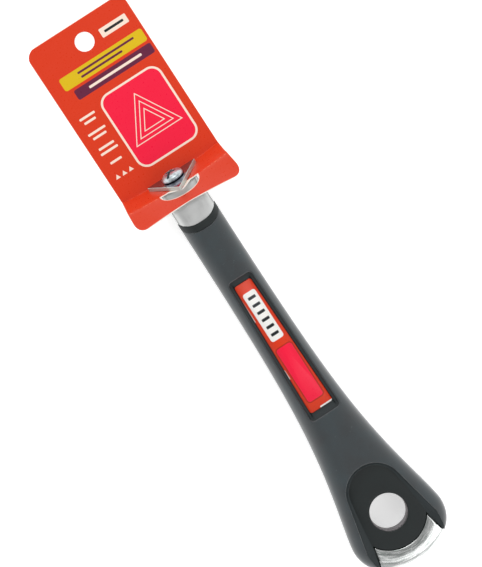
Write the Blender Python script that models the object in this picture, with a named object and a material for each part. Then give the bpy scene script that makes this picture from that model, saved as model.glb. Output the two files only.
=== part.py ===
"""A pull scraper with a triangular carbide blade, held on its display card.

The tool lies on its back with its label up. X runs across it, Y runs along it with the blade
towards +Y, and Z is up. A station is a distance from the butt end towards the blade, along Y.
Lengths are in metres and angles in degrees. A cutter is shown as wire and left out of renders.
"""
import math

import bmesh
import bpy
from mathutils import Vector
from mathutils.geometry import delaunay_2d_cdt

# The whole tool
TOOL_LENGTH = 0.205
CLEARANCE = 0.0003
OVERRUN = 0.004
TINY = 0.000001

# The handle's outer shape
NECK_HALF_WIDTH = 0.0098
FLARE = 0.01325
FLARE_FADE = 0.043
FLARE_POWER = 1.32
WIDEST_STATION = 0.0167
CORNER_ACROSS = 0.0145
CORNER_ALONG = 0.015
BUTT_HALF_HEIGHT = 0.00925
COLLAR_HALF_HEIGHT = 0.007
TAPER_STATION = 0.075
BUTT_ROUND = 0.005
NECK_POWER = 2.5
BUTT_POWER = 3.4
SECTION_SWELL_SHARE = 1.12
SECTION_POINTS = 44
BUTT_STEPS = 6
FLARE_STEPS = 8
NECK_STEPS = 4

# The collar, where plastic meets the metal neck in a U
SHOULDER_STATION = 0.1783
GRIP_FRONT_STATION = 0.1746
U_DEPTH = 0.005
U_POWER = 3.0
U_STEPS = 14

# The soft grip and its arch-shaped opening round the hang hole
GRIP_THICKNESS = 0.00175
ARCH_RADIUS = 0.0136
ARCH_STATION = 0.0348
ARCH_WIDE_HALF = 0.0183
ARCH_WIDE_STATION = 0.013
ARCH_END_HALF = 0.0172
ARCH_STEPS = 14

# The label window, the pocket in its floor and the label
WINDOW_BUTT_STATION = 0.076
WINDOW_HEAD_STATION = 0.1493
WINDOW_BUTT_HALF = 0.0078
WINDOW_HEAD_HALF = 0.0062
WINDOW_CORNER = 0.0025
POCKET_INSET = 0.0013
POCKET_END_INSET = 0.0026
POCKET_DEPTH = 0.0007
LABEL_INSET = 0.0023
LABEL_END_INSET = 0.0044
LABEL_CORNER = 0.0008
LABEL_THICKNESS = 0.0003
CORNER_STEPS = 5

# The metal core: neck, tang, plate round the hang hole and strike end
SHANK_HALF_WIDTH = 0.0095
SHANK_HEAD_HALF_WIDTH = 0.0092
SHANK_HALF_HEIGHT = 0.006
SHANK_POWER = 5.0
SHANK_OVERLAP = 0.006
PLATE_INSET = 0.004
PLATE_HALF_HEIGHT = 0.0035
HOLE_STATION = 0.0248
HOLE_RADIUS = 0.0085
HOLE_MOUTH_RADIUS = 0.0089
HOLE_STEPS = 36
STRIKE_INNER_RADIUS = 0.0173
STRIKE_INNER_HALF = 0.0137
STRIKE_OUTER_RADIUS = 0.0322
STRIKE_OUTER_HALF = 0.0159
STRIKE_HALF_HEIGHT = 0.0065
STRIKE_ROUND = 0.0015
STRIKE_ROUND_STEPS = 3
STRIKE_STEPS = 12

# The blade and its seat
BLADE_TILT = 66.0
BLADE_SIDE = 0.0254
BLADE_THICKNESS = 0.002
BLADE_CORNER_FLAT = 0.0009
BLADE_HOLE_RADIUS = 0.0028

# The screw and its tapped hole
SCREW_RADIUS = 0.0025
SCREW_LENGTH = 0.010
SCREW_HEAD_RADIUS = 0.005
SCREW_HEAD_HEIGHT = 0.0027
SCREW_RIM_HEIGHT = 0.0006
SCREW_DOME_STEPS = 5
SCREW_POINT = 0.0006
SLOT_LENGTH = 0.0056
SLOT_WIDTH = 0.0011
SLOT_DEPTH = 0.0014
TAP_DEPTH = 0.0071
ROUND_STEPS = 32

# The display card, which is cut flat and then folded twice
CARD_WIDTH = 0.052
CARD_THICKNESS = 0.0005
CARD_FLAT_LENGTH = 0.0829
CARD_TAB_LENGTH = 0.0088
CARD_TAB_RISE = 10.0
CARD_TOP_CORNER = 0.0043
CARD_BOTTOM_CORNER = 0.005
CARD_HANG_RADIUS = 0.00465
CARD_HANG_EDGE = 0.0099
SMILE_HALF = 0.0105
SMILE_LIP_RISE = 0.0029
SMILE_DEPTH = 0.0046
SMILE_STEPS = 20

# Places that follow from the sizes above
TILT = math.radians(BLADE_TILT)
TAB_RISE = math.radians(CARD_TAB_RISE)
AXIS_Z = BUTT_HALF_HEIGHT
CARD_OFFSET = CLEARANCE + CARD_THICKNESS / 2
BLADE_BACK = CLEARANCE + CARD_THICKNESS + CLEARANCE
BLADE_FRONT = BLADE_BACK + BLADE_THICKNESS
BLADE_INRADIUS = BLADE_SIDE / (2 * math.sqrt(3))
SEAT_STATION = TOOL_LENGTH - BLADE_FRONT * math.sin(TILT) - BLADE_INRADIUS * math.cos(TILT)
RISER_FOOT = (CARD_THICKNESS / 2 - AXIS_Z - CARD_OFFSET * math.cos(TILT)) / math.sin(TILT)
TAB_LEVEL = AXIS_Z + SHANK_HALF_HEIGHT + CLEARANCE + CARD_THICKNESS
RISER_LENGTH = (TAB_LEVEL - CARD_THICKNESS / 2) / math.sin(TILT)
CREASE_STATION = SEAT_STATION + CARD_OFFSET * math.sin(TILT) - RISER_FOOT * math.cos(TILT)
OVERALL_LENGTH = CREASE_STATION + CARD_FLAT_LENGTH
FRONT_STATION = SHOULDER_STATION + U_DEPTH + OVERRUN


def clear_scene():
    """Remove whatever the file holds."""
    for thing in list(bpy.data.objects):
        bpy.data.objects.remove(thing)


def place_y(station):
    """The Y of a station. The origin is under the middle of the whole length."""
    return station - OVERALL_LENGTH / 2


def material(name, colour, roughness, metallic=0.0):
    """A plain Principled material."""
    made = bpy.data.materials.new(name)
    made.use_nodes = True
    shader = made.node_tree.nodes["Principled BSDF"]
    shader.inputs["Base Color"].default_value = (*colour, 1.0)
    shader.inputs["Roughness"].default_value = roughness
    shader.inputs["Metallic"].default_value = metallic
    made.diffuse_color = (*colour, 1.0)
    return made


def add_object(name, mesh, parent=None, finish=None):
    """Put a mesh in the scene, shaded smooth except at its sharp edges."""
    thing = bpy.data.objects.new(name, mesh)
    bpy.context.scene.collection.objects.link(thing)
    thing.parent = parent
    mesh.shade_smooth()
    mesh.set_sharp_from_angle(angle=math.radians(35.0))
    if finish:
        mesh.materials.append(finish)
    return thing


def make_cutter(thing):
    """Show an object as wire and keep it out of renders: it only cuts or joins."""
    thing.hide_render = True
    thing.display_type = "WIRE"
    return thing


def combine(target, operand, operation="DIFFERENCE"):
    """Cut an operand out of a target, or join it on."""
    modifier = target.modifiers.new(operand.name, "BOOLEAN")
    modifier.operation = operation
    modifier.solver = "EXACT"
    modifier.object = make_cutter(operand)


def mesh_from(name, work):
    """Turn a bmesh into a mesh and free it."""
    bmesh.ops.recalc_face_normals(work, faces=work.faces)
    mesh = bpy.data.meshes.new(name)
    work.to_mesh(mesh)
    work.free()
    return mesh


def mirrored(side):
    """Close an outline from its right side, which runs from one end of the middle line to the other."""
    return side + [(-x, along) for x, along in reversed(side) if abs(x) > TINY]


def arc(centre, radius, start, end, steps):
    """Points on an arc. An angle of 0 points along +X and 90 along the second axis."""
    turns = [math.radians(start + (end - start) * step / steps) for step in range(steps + 1)]
    return [(centre[0] + radius * math.cos(turn), centre[1] + radius * math.sin(turn)) for turn in turns]


def circle(centre, radius, steps):
    """Points round a whole circle."""
    return arc(centre, radius, 0.0, 360.0, steps)[:-1]


def rounded(corners, radii, steps):
    """An outline whose corners are turned into arcs of the given radii."""
    outline = []
    for index, corner in enumerate(corners):
        here = Vector(corner)
        back = (Vector(corners[index - 1]) - here).normalized()
        ahead = (Vector(corners[(index + 1) % len(corners)]) - here).normalized()
        half = back.angle(ahead) / 2
        middle = here + (back + ahead).normalized() * radii[index] / math.sin(half)
        first = here + back * radii[index] / math.tan(half) - middle
        last = here + ahead * radii[index] / math.tan(half) - middle
        for step in range(steps + 1):
            spoke = first.lerp(last, step / steps).normalized() * radii[index]
            outline.append(tuple(middle + spoke))
    return outline


def slab(name, outline, place, holes=(), creases=()):
    """A sheet with holes. Its outline is flat, and place gives the two faces of each point."""
    loops = [outline, *holes]
    points = [Vector(point) for loop in loops for point in loop]
    rims = []
    for loop in loops:
        start = sum(len(rim) for rim in rims)
        rims.append(list(range(start, start + len(loop))))
    flat_points, _, faces, *_ = delaunay_2d_cdt(points, [], rims, 2, TINY / 10)
    flat = bmesh.new()
    corners = [flat.verts.new((point.x, point.y, 0)) for point in flat_points]
    for face in faces:
        flat.faces.new([corners[index] for index in face])
    for crease in creases:
        everything = [*flat.verts, *flat.edges, *flat.faces]
        bmesh.ops.bisect_plane(flat, geom=everything, dist=TINY, plane_co=(0, crease, 0),
                               plane_no=(0, 1, 0))
    work = bmesh.new()
    sides = {}
    for corner in flat.verts:
        low, high = place(corner.co.x, corner.co.y)
        sides[corner] = (work.verts.new(low), work.verts.new(high))
    for face in flat.faces:
        work.faces.new([sides[corner][1] for corner in face.verts])
        work.faces.new([sides[corner][0] for corner in reversed(face.verts)])
    for edge in flat.edges:
        if edge.is_boundary:
            (low_a, high_a), (low_b, high_b) = sides[edge.verts[0]], sides[edge.verts[1]]
            work.faces.new((low_a, low_b, high_b, high_a))
    flat.free()
    return mesh_from(name, work)


def prism(name, outline, low_z, high_z, holes=()):
    """An upright slab over an outline of (x, station) points."""
    def place(x, station):
        return (x, place_y(station), low_z), (x, place_y(station), high_z)
    return slab(name, outline, place, holes)


def loft(name, rings):
    """A closed body through rings of as many points each."""
    work = bmesh.new()
    layers = [[work.verts.new(point) for point in ring] for ring in rings]
    count = len(layers[0])
    for near, far in zip(layers, layers[1:]):
        for k in range(count):
            after = (k + 1) % count
            work.faces.new((near[k], near[after], far[after], far[k]))
    work.faces.new(list(reversed(layers[0])))
    work.faces.new(layers[-1])
    return mesh_from(name, work)


def turned(name, profile, steps):
    """A turned body about Z, from a profile of (radius, height) points that starts and ends at Z."""
    work = bmesh.new()
    layers = []
    for radius, height in profile:
        ring = circle((0.0, 0.0), radius, steps) if radius > TINY else [(0.0, 0.0)]
        layers.append([work.verts.new((x, y, height)) for x, y in ring])
    for near, far in zip(layers, layers[1:]):
        for k in range(steps):
            after = (k + 1) % steps
            corners = [near[k % len(near)], near[after % len(near)],
                       far[after % len(far)], far[k % len(far)]]
            work.faces.new(list(dict.fromkeys(corners)))
    return mesh_from(name, work)


def flare_share(station):
    """How much of the butt's form a station has: all of it at the widest place, none at the neck."""
    return math.exp(-(max(0.0, station - WIDEST_STATION) / FLARE_FADE) ** FLARE_POWER)


def half_width(station, inset=0.0):
    """Half the handle's width: a neck that flares towards the butt and ends in round corners."""
    if station >= WIDEST_STATION:
        return NECK_HALF_WIDTH + FLARE * flare_share(station) - inset
    middle = NECK_HALF_WIDTH + FLARE - CORNER_ACROSS
    share = min(1.0, (WIDEST_STATION - station) / (CORNER_ALONG - inset))
    return middle + (CORNER_ACROSS - inset) * math.sqrt(1.0 - share * share)


def half_height(station, inset=0.0):
    """Half the handle's thickness: even at the butt, with a round end, then a straight taper."""
    if station >= TAPER_STATION:
        share = (station - TAPER_STATION) / (SHOULDER_STATION - TAPER_STATION)
        return BUTT_HALF_HEIGHT + share * (COLLAR_HALF_HEIGHT - BUTT_HALF_HEIGHT) - inset
    radius = BUTT_ROUND - inset
    left = radius - (station - WIDEST_STATION + CORNER_ALONG - inset)
    left = max(0.0, min(radius, left))
    return BUTT_HALF_HEIGHT - BUTT_ROUND + math.sqrt(radius ** 2 - left ** 2)


def section(half_w, half_h, station, power, swell=1.0):
    """A superellipse across the tool. A swell over 1 is cut back to flats on top and below."""
    ring = []
    for k in range(SECTION_POINTS):
        turn = 2 * math.pi * (k + 0.5) / SECTION_POINTS
        across = math.copysign(abs(math.cos(turn)) ** (2 / power), math.cos(turn))
        rise = math.copysign(abs(math.sin(turn)) ** (2 / power), math.sin(turn)) * swell
        rise = max(-1.0, min(1.0, rise))
        ring.append((half_w * across, place_y(station), AXIS_Z + half_h * rise))
    return ring


def handle_stations(inset, front):
    """Stations close together at the round butt and wide apart on the straight neck."""
    butt = [WIDEST_STATION - (CORNER_ALONG - inset) * math.cos(math.pi / 2 * k / BUTT_STEPS)
            for k in range(BUTT_STEPS)]
    flare = [WIDEST_STATION + (TAPER_STATION - WIDEST_STATION) * k / FLARE_STEPS
             for k in range(FLARE_STEPS)]
    neck = [TAPER_STATION + (front - TAPER_STATION) * k / NECK_STEPS for k in range(NECK_STEPS + 1)]
    return butt + flare + neck


def handle_form(name, inset, front, first=None):
    """The handle's outer shape, drawn in by an inset, as a closed body."""
    stations = handle_stations(inset, front)
    if first is not None:
        stations = [first, front]
    rings = []
    for s in stations:
        power = NECK_POWER + (BUTT_POWER - NECK_POWER) * flare_share(s)
        rings.append(section(half_width(s, inset), half_height(s, inset), s, power, SECTION_SWELL_SHARE))
    return add_object(name, loft(name, rings))


def u_line(bottom, reach):
    """The U in which one material ends on the neck, from left to right."""
    line = []
    for k in range(2 * U_STEPS + 1):
        x = reach * (k / U_STEPS - 1.0)
        line.append((x, bottom + U_DEPTH * (abs(x) / NECK_HALF_WIDTH) ** U_POWER))
    return line


def u_front(name, bottom):
    """A block of everything towards the blade from a U."""
    reach = NECK_HALF_WIDTH + OVERRUN
    line = u_line(bottom, reach)
    far = FRONT_STATION + reach
    outline = line + [(reach, far), (-reach, far)]
    return add_object(name, prism(name, outline, -OVERRUN, 2 * AXIS_Z + OVERRUN))


def u_back(name, bottom):
    """A block of everything towards the butt from a U."""
    reach = NECK_HALF_WIDTH + OVERRUN
    line = u_line(bottom, reach)
    near = bottom - SHANK_OVERLAP - OVERRUN
    outline = [(-reach, near), (reach, near)] + list(reversed(line))
    return add_object(name, prism(name, outline, -OVERRUN, 2 * AXIS_Z + OVERRUN))


def trapezoid(inset, end_inset, corner):
    """The label window's outline, drawn in at its sides and ends."""
    butt, head = WINDOW_BUTT_STATION + end_inset, WINDOW_HEAD_STATION - end_inset
    wide, narrow = WINDOW_BUTT_HALF - inset, WINDOW_HEAD_HALF - inset
    corners = [(-wide, butt), (wide, butt), (narrow, head), (-narrow, head)]
    return rounded(corners, [corner] * len(corners), CORNER_STEPS)


def arch_outline():
    """The arch-shaped opening in the grip, open at the butt."""
    right = arc((0.0, ARCH_STATION), ARCH_RADIUS, 90.0, 0.0, ARCH_STEPS)
    right += [(ARCH_WIDE_HALF, ARCH_WIDE_STATION), (ARCH_END_HALF, STRIKE_ROUND),
              (ARCH_END_HALF, -OVERRUN)]
    return mirrored(right)


def strike_outline(gap, edge=0.0, past_end=False):
    """The strike end seen from above, drawn in by a gap and by a rounded edge.

    As a cutter it runs on past its end.
    """
    radius = STRIKE_INNER_RADIUS + gap + edge
    half_turn = math.degrees(math.asin((STRIKE_INNER_HALF - gap - edge) / radius))
    right = arc((0.0, HOLE_STATION), radius, -90.0, half_turn - 90.0, STRIKE_STEPS)
    radius = STRIKE_OUTER_RADIUS - edge
    half_turn = math.degrees(math.asin((STRIKE_OUTER_HALF - gap - edge) / radius))
    end = arc((0.0, STRIKE_OUTER_RADIUS), radius, half_turn - 90.0, -90.0, STRIKE_STEPS)
    if past_end:
        end = [end[0], (STRIKE_OUTER_HALF - gap, -OVERRUN), (0.0, -OVERRUN)]
    return mirrored(right + end)


def plate_outline(grow, front):
    """The tang and the plate round the hang hole, which follow the handle at a constant inset."""
    inset = PLATE_INSET - grow
    return mirrored([(half_width(s, inset), s) for s in handle_stations(inset, front)])


def hole_cutter(name, radius):
    """A straight cut for the hang hole through the whole thickness."""
    outline = circle((0.0, HOLE_STATION), radius, HOLE_STEPS)
    return add_object(name, prism(name, outline, -OVERRUN, 2 * AXIS_Z + OVERRUN))


def seat_axis():
    """The empty at the middle of the blade's seat. Its Z is the axis of the screw."""
    empty = bpy.data.objects.new("seat_axis", None)
    bpy.context.scene.collection.objects.link(empty)
    empty.location = (0.0, place_y(SEAT_STATION), AXIS_Z)
    empty.rotation_euler = (-TILT, 0.0, 0.0)
    return empty


def make_shank():
    """The neck: a round-edged bar from the collar to the seat, cut to the U at its shoulder."""
    start = SHOULDER_STATION - SHANK_OVERLAP
    end = TOOL_LENGTH + SHANK_HALF_HEIGHT
    rings = [section(half, SHANK_HALF_HEIGHT, station, SHANK_POWER)
             for station, half in ((start, SHANK_HALF_WIDTH), (SHOULDER_STATION + U_DEPTH, SHANK_HALF_WIDTH),
                                   (end, SHANK_HEAD_HALF_WIDTH))]
    shank = add_object("shank_bar", loft("shank_bar", rings))
    combine(shank, u_back("shoulder_cut", SHOULDER_STATION + CLEARANCE))
    return shank


def make_strike_bar():
    """The bright strike end, a stack of outlines that draw in towards its rounded edges."""
    rings = []
    for side in (-1.0, 1.0):
        for step in range(STRIKE_ROUND_STEPS + 1):
            turn = math.pi / 2 * step / STRIKE_ROUND_STEPS
            if side < 0.0:
                turn = math.pi / 2 - turn
            edge = STRIKE_ROUND * (1.0 - math.cos(turn))
            height = AXIS_Z + side * (STRIKE_HALF_HEIGHT - STRIKE_ROUND * (1.0 - math.sin(turn)))
            outline = strike_outline(CLEARANCE, edge)
            rings.append([(x, place_y(station), height) for x, station in outline])
    return add_object("strike_bar", loft("strike_bar", rings))


def make_core(axis):
    """The casting: tang plate, neck and strike end in one, with its hang hole and tapped hole."""
    finish = material("zinc_casting", (0.62, 0.62, 0.61), 0.32, 1.0)
    front = SHOULDER_STATION + U_DEPTH + SHANK_OVERLAP
    mesh = prism("metal_core", plate_outline(0.0, front), AXIS_Z - PLATE_HALF_HEIGHT,
                 AXIS_Z + PLATE_HALF_HEIGHT)
    core = add_object("metal_core", mesh, finish=finish)
    combine(core, make_shank(), "UNION")
    combine(core, make_strike_bar(), "UNION")
    combine(core, hole_cutter("core_hole", HOLE_RADIUS))
    reach = 2 * SHANK_HALF_WIDTH
    bore = SCREW_RADIUS + CLEARANCE
    profile = [(0.0, -TAP_DEPTH), (bore, -TAP_DEPTH), (bore, 0.0), (reach, 0.0), (reach, reach), (0.0, reach)]
    combine(core, add_object("seat_and_tapping", turned("seat_and_tapping", profile, ROUND_STEPS), axis))


def label_slab(name, outline, low, high):
    """A slab that lies along the sloping floor of the label window, from one height to another."""
    def place(x, station):
        floor = AXIS_Z + half_height(station, GRIP_THICKNESS + CLEARANCE)
        return (x, place_y(station), floor + low), (x, place_y(station), floor + high)
    return slab(name, outline, place)


def make_body():
    """The hard plastic: it fills the grip, fits round the tang and shows as a collar at the neck."""
    finish = material("black_plastic", (0.028, 0.032, 0.033), 0.5)
    body = handle_form("handle_body", GRIP_THICKNESS + CLEARANCE, FRONT_STATION)
    body.data.materials.append(finish)
    collar = handle_form("collar_ring", 0.0, FRONT_STATION - OVERRUN / 2,
                         GRIP_FRONT_STATION - OVERRUN / 2)
    combine(collar, u_back("collar_back", GRIP_FRONT_STATION + CLEARANCE))
    combine(body, collar, "UNION")
    combine(body, u_front("collar_front", SHOULDER_STATION))
    low, high = AXIS_Z - PLATE_HALF_HEIGHT - CLEARANCE, AXIS_Z + PLATE_HALF_HEIGHT + CLEARANCE
    cavity = prism("tang_cavity", plate_outline(CLEARANCE, FRONT_STATION + OVERRUN), low, high)
    combine(body, add_object("tang_cavity", cavity))
    strike = prism("strike_gap", strike_outline(0.0, past_end=True), -OVERRUN, 2 * AXIS_Z + OVERRUN)
    combine(body, add_object("strike_gap", strike))
    combine(body, hole_cutter("body_hole", HOLE_MOUTH_RADIUS))
    pocket = label_slab("label_pocket", trapezoid(POCKET_INSET, POCKET_END_INSET, WINDOW_CORNER / 2),
                        -POCKET_DEPTH, OVERRUN)
    combine(body, add_object("label_pocket", pocket))


def make_grip():
    """The soft overmould, a skin with an arch round the hang hole and a window for the label."""
    finish = material("grey_soft_grip", (0.088, 0.099, 0.1), 0.75)
    grip = handle_form("soft_grip", 0.0, FRONT_STATION)
    grip.data.materials.append(finish)
    combine(grip, handle_form("grip_hollow", GRIP_THICKNESS, FRONT_STATION + OVERRUN))
    combine(grip, u_front("grip_front", GRIP_FRONT_STATION))
    arch = prism("arch_opening", arch_outline(), -OVERRUN, 2 * AXIS_Z + OVERRUN)
    combine(grip, add_object("arch_opening", arch))
    window = prism("label_window", trapezoid(0.0, 0.0, WINDOW_CORNER), AXIS_Z, 2 * AXIS_Z + OVERRUN)
    combine(grip, add_object("label_window", window))


def make_label():
    """The paper label on the floor of its pocket."""
    outline = trapezoid(LABEL_INSET, LABEL_END_INSET, LABEL_CORNER)
    low = CLEARANCE - POCKET_DEPTH
    mesh = label_slab("handle_label", outline, low, low + LABEL_THICKNESS)
    add_object("handle_label", mesh, finish=material("red_label_paper", (0.73, 0.05, 0.02), 0.45))


def make_blade(axis):
    """The carbide triangle. One edge is down and across, and one corner points up."""
    reach = BLADE_SIDE / math.sqrt(3)
    outline = []
    for turn in (30.0, 150.0, 270.0):
        tip = Vector((math.cos(math.radians(turn)), math.sin(math.radians(turn)))) * reach
        for back in (turn + 180.0 + 30.0, turn + 180.0 - 30.0):
            along = Vector((math.cos(math.radians(back)), math.sin(math.radians(back))))
            outline.append(tuple(tip + along * BLADE_CORNER_FLAT))
    centred = [circle((0.0, 0.0), BLADE_HOLE_RADIUS, ROUND_STEPS)]
    mesh = slab("carbide_blade", outline, lambda x, y: ((x, y, BLADE_BACK), (x, y, BLADE_FRONT)), centred)
    add_object("carbide_blade", mesh, axis, material("ground_carbide", (0.42, 0.41, 0.4), 0.12, 1.0))


def make_screw(axis):
    """The screw: a domed head with a crossed slot, and a plain shank where the thread is."""
    seat = BLADE_FRONT + CLEARANCE
    dome = SCREW_HEAD_HEIGHT - SCREW_RIM_HEIGHT
    profile = [(0.0, seat - SCREW_LENGTH), (SCREW_RADIUS - SCREW_POINT, seat - SCREW_LENGTH),
               (SCREW_RADIUS, seat - SCREW_LENGTH + SCREW_POINT), (SCREW_RADIUS, seat),
               (SCREW_HEAD_RADIUS, seat)]
    for step in range(SCREW_DOME_STEPS + 1):
        turn = math.pi / 2 * step / SCREW_DOME_STEPS
        profile.append((SCREW_HEAD_RADIUS * math.cos(turn), seat + SCREW_RIM_HEIGHT + dome * math.sin(turn)))
    finish = material("zinc_plated_steel", (0.75, 0.76, 0.77), 0.2, 1.0)
    screw = add_object("blade_screw", turned("blade_screw", profile, ROUND_STEPS), axis, finish)
    top = seat + SCREW_HEAD_HEIGHT
    arms = ((SLOT_LENGTH, SLOT_WIDTH), (SLOT_WIDTH, SLOT_LENGTH))
    for number, (long_side, wide_side) in enumerate(arms, start=1):
        x, y = long_side / 2, wide_side / 2
        outline = [(-x, -y), (x, -y), (x, y), (-x, y)]
        name = f"driver_slot_{number}"
        cut = slab(name, outline, lambda a, b: ((a, b, top - SLOT_DEPTH), (a, b, top + OVERRUN)))
        combine(screw, add_object(name, cut, axis))


def card_direction(x, run):
    """Which way the card's printed face points at a place on the flat card. A fold shares two."""
    flat = Vector((0.0, 0.0, 1.0))
    riser = Vector((0.0, math.sin(TILT), math.cos(TILT)))
    tab = Vector((0.0, math.sin(TAB_RISE), math.cos(TAB_RISE)))
    if abs(run) < TINY:
        pair = (flat, riser)
    elif abs(run - RISER_LENGTH) < TINY and abs(x) > SMILE_HALF - TINY:
        pair = (riser, tab)
    elif run < 0.0:
        return flat
    elif run < RISER_LENGTH + TINY or on_lip(x, run):
        return riser
    else:
        return tab
    middle = (pair[0] + pair[1]).normalized()
    return middle / middle.dot(pair[0])


def lip_rise(x):
    """How far the lip of the smile-shaped cut stands past the second fold."""
    return SMILE_LIP_RISE * (1.0 - abs(x) / SMILE_HALF)


def on_lip(x, run):
    """Whether a place past the second fold is on the lip, which stays in line with the riser."""
    return abs(x) < SMILE_HALF and run - RISER_LENGTH < lip_rise(x) + TINY


def card_place(x, run):
    """Fold the flat card: its flat part on the table, up behind the blade, then over the neck."""
    foot = Vector((x, place_y(CREASE_STATION), CARD_THICKNESS / 2))
    if run <= 0.0:
        middle = foot - Vector((0.0, run, 0.0))
    elif run <= RISER_LENGTH + TINY or on_lip(x, run):
        middle = foot + Vector((0.0, -math.cos(TILT), math.sin(TILT))) * run
    else:
        middle = foot + Vector((0.0, -math.cos(TILT), math.sin(TILT))) * RISER_LENGTH
        middle += Vector((0.0, -math.cos(TAB_RISE), math.sin(TAB_RISE))) * (run - RISER_LENGTH)
    out = card_direction(x, run) * CARD_THICKNESS / 2
    return middle - out, middle + out


def make_card():
    """The display card, cut flat with its three holes and then folded."""
    half = CARD_WIDTH / 2
    end = RISER_LENGTH + CARD_TAB_LENGTH
    corners = [(-half, -CARD_FLAT_LENGTH), (half, -CARD_FLAT_LENGTH), (half, end), (-half, end)]
    radii = [CARD_TOP_CORNER, CARD_TOP_CORNER, CARD_BOTTOM_CORNER, CARD_BOTTOM_CORNER]
    hang = circle((0.0, CARD_HANG_EDGE - CARD_FLAT_LENGTH), CARD_HANG_RADIUS, ROUND_STEPS)
    screw = circle((0.0, -RISER_FOOT), BLADE_HOLE_RADIUS, ROUND_STEPS)
    smile = [(-SMILE_HALF, RISER_LENGTH), (0.0, RISER_LENGTH + SMILE_LIP_RISE)]
    for turn in range(SMILE_STEPS):
        angle = math.pi * turn / SMILE_STEPS
        smile.append((SMILE_HALF * math.cos(angle), RISER_LENGTH + SMILE_DEPTH * math.sin(angle)))
    mesh = slab("header_card", rounded(corners, radii, CORNER_STEPS), card_place,
                [hang, screw, smile], (0.0, RISER_LENGTH))
    add_object("header_card", mesh, finish=material("red_card", (0.7, 0.045, 0.015), 0.4))


def main():
    clear_scene()
    axis = seat_axis()
    make_core(axis)
    make_body()
    make_grip()
    make_label()
    make_blade(axis)
    make_screw(axis)
    make_card()


main()
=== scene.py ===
# %% [markdown]
# # A carbide paint scraper on its display card
# This lesson dresses a pull scraper that lies on a white table with its label up. Its CAD
# model is already packed as a frame of solids. Each cell below first says what a piece is on
# the real tool, then how it could be made, and why one way was chosen. Lengths are in metres.
# X runs across the tool, Y along it towards the blade, and Z is up.

# %% Load the frame
import math

import bmesh
import bpy
import numpy as np
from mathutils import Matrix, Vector


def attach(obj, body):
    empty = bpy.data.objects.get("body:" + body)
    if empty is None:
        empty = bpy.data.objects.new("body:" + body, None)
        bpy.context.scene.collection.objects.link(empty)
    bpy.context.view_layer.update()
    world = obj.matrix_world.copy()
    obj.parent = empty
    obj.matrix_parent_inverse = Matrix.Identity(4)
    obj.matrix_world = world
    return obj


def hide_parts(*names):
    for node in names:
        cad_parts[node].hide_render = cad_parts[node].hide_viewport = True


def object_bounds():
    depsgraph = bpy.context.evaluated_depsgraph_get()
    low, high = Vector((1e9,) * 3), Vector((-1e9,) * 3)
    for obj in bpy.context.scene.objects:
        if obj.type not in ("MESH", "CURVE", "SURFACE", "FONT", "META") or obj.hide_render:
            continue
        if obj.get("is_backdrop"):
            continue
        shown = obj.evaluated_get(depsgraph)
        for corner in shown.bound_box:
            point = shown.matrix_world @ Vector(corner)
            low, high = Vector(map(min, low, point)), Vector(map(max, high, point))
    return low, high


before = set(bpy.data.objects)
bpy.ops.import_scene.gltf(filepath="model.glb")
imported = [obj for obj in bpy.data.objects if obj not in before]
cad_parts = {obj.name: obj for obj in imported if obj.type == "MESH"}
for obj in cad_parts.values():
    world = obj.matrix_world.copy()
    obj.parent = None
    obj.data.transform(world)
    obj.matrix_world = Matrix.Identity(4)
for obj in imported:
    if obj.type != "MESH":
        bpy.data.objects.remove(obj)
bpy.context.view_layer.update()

# %% [markdown]
# ## The camera
# The photograph was taken from straight above, from a little over half a metre. The camera is
# rolled, so that the blade points to the upper left and the butt to the lower right. A lens as
# long as this one keeps the sides of the handle nearly parallel, as they are in the photograph.

# %% Camera
IMAGE_WIDTH, IMAGE_HEIGHT = 482, 567
VIEW_DISTANCE = 0.625
TOOL_PLANE = 0.00925
VIEW_CENTRE = (-0.0002, 0.00235)
VIEW_ROLL = -32.76
FOCAL_PIXELS = 1390.0


def add_object(name, data):
    """A new object in the scene, which shows a camera, a light or a mesh."""
    made = bpy.data.objects.new(name, data)
    bpy.context.scene.collection.objects.link(made)
    return made


lens = bpy.data.cameras.new("photo_camera")
lens.sensor_width = 36.0
lens.lens = FOCAL_PIXELS / max(IMAGE_WIDTH, IMAGE_HEIGHT) * lens.sensor_width
lens.clip_start = 0.01
camera = add_object("photo_camera", lens)
camera.location = (*VIEW_CENTRE, TOOL_PLANE + VIEW_DISTANCE)
camera.rotation_euler = (0.0, 0.0, math.radians(VIEW_ROLL))
bpy.context.scene.camera = camera
bpy.context.scene.view_settings.view_transform = "Standard"
print("lens:", round(lens.lens, 1), "mm")

# %% [markdown]
# ## Small helpers for materials
# Colours are read from sRGB hex values, as a paint program shows them, and turned to the linear
# light that the renderer adds up. Every material below is a tree of nodes, and one function adds
# a node, sets it and links it, so that each tree reads as a list of its steps.

# %% Colour and node helpers
def linear(text):
    """An sRGB hex colour as linear RGBA: the inverse of the sRGB curve on each channel."""
    channels = np.array([int(text[k:k + 2], 16) / 255 for k in (0, 2, 4)])
    low, high = channels / 12.92, ((channels + 0.055) / 1.055) ** 2.4
    return (*np.where(channels <= 0.04045, low, high), 1.0)


def feed(tree, node, inputs):
    """Set a node's inputs, each to a value or linked from a socket or a node's live output."""
    for key, value in inputs.items():
        if isinstance(value, bpy.types.Node):
            value = next(socket for socket in value.outputs if socket.enabled)
        if isinstance(value, bpy.types.NodeSocket):
            tree.links.new(value, node.inputs[key])
        else:
            node.inputs[key].default_value = value


def add_node(tree, kind, inputs=None, **settings):
    """Add a node with its settings and its inputs."""
    made = tree.nodes.new("ShaderNode" + kind)
    for key, value in settings.items():
        setattr(made, key, value)
    feed(tree, made, inputs or {})
    return made


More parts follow.
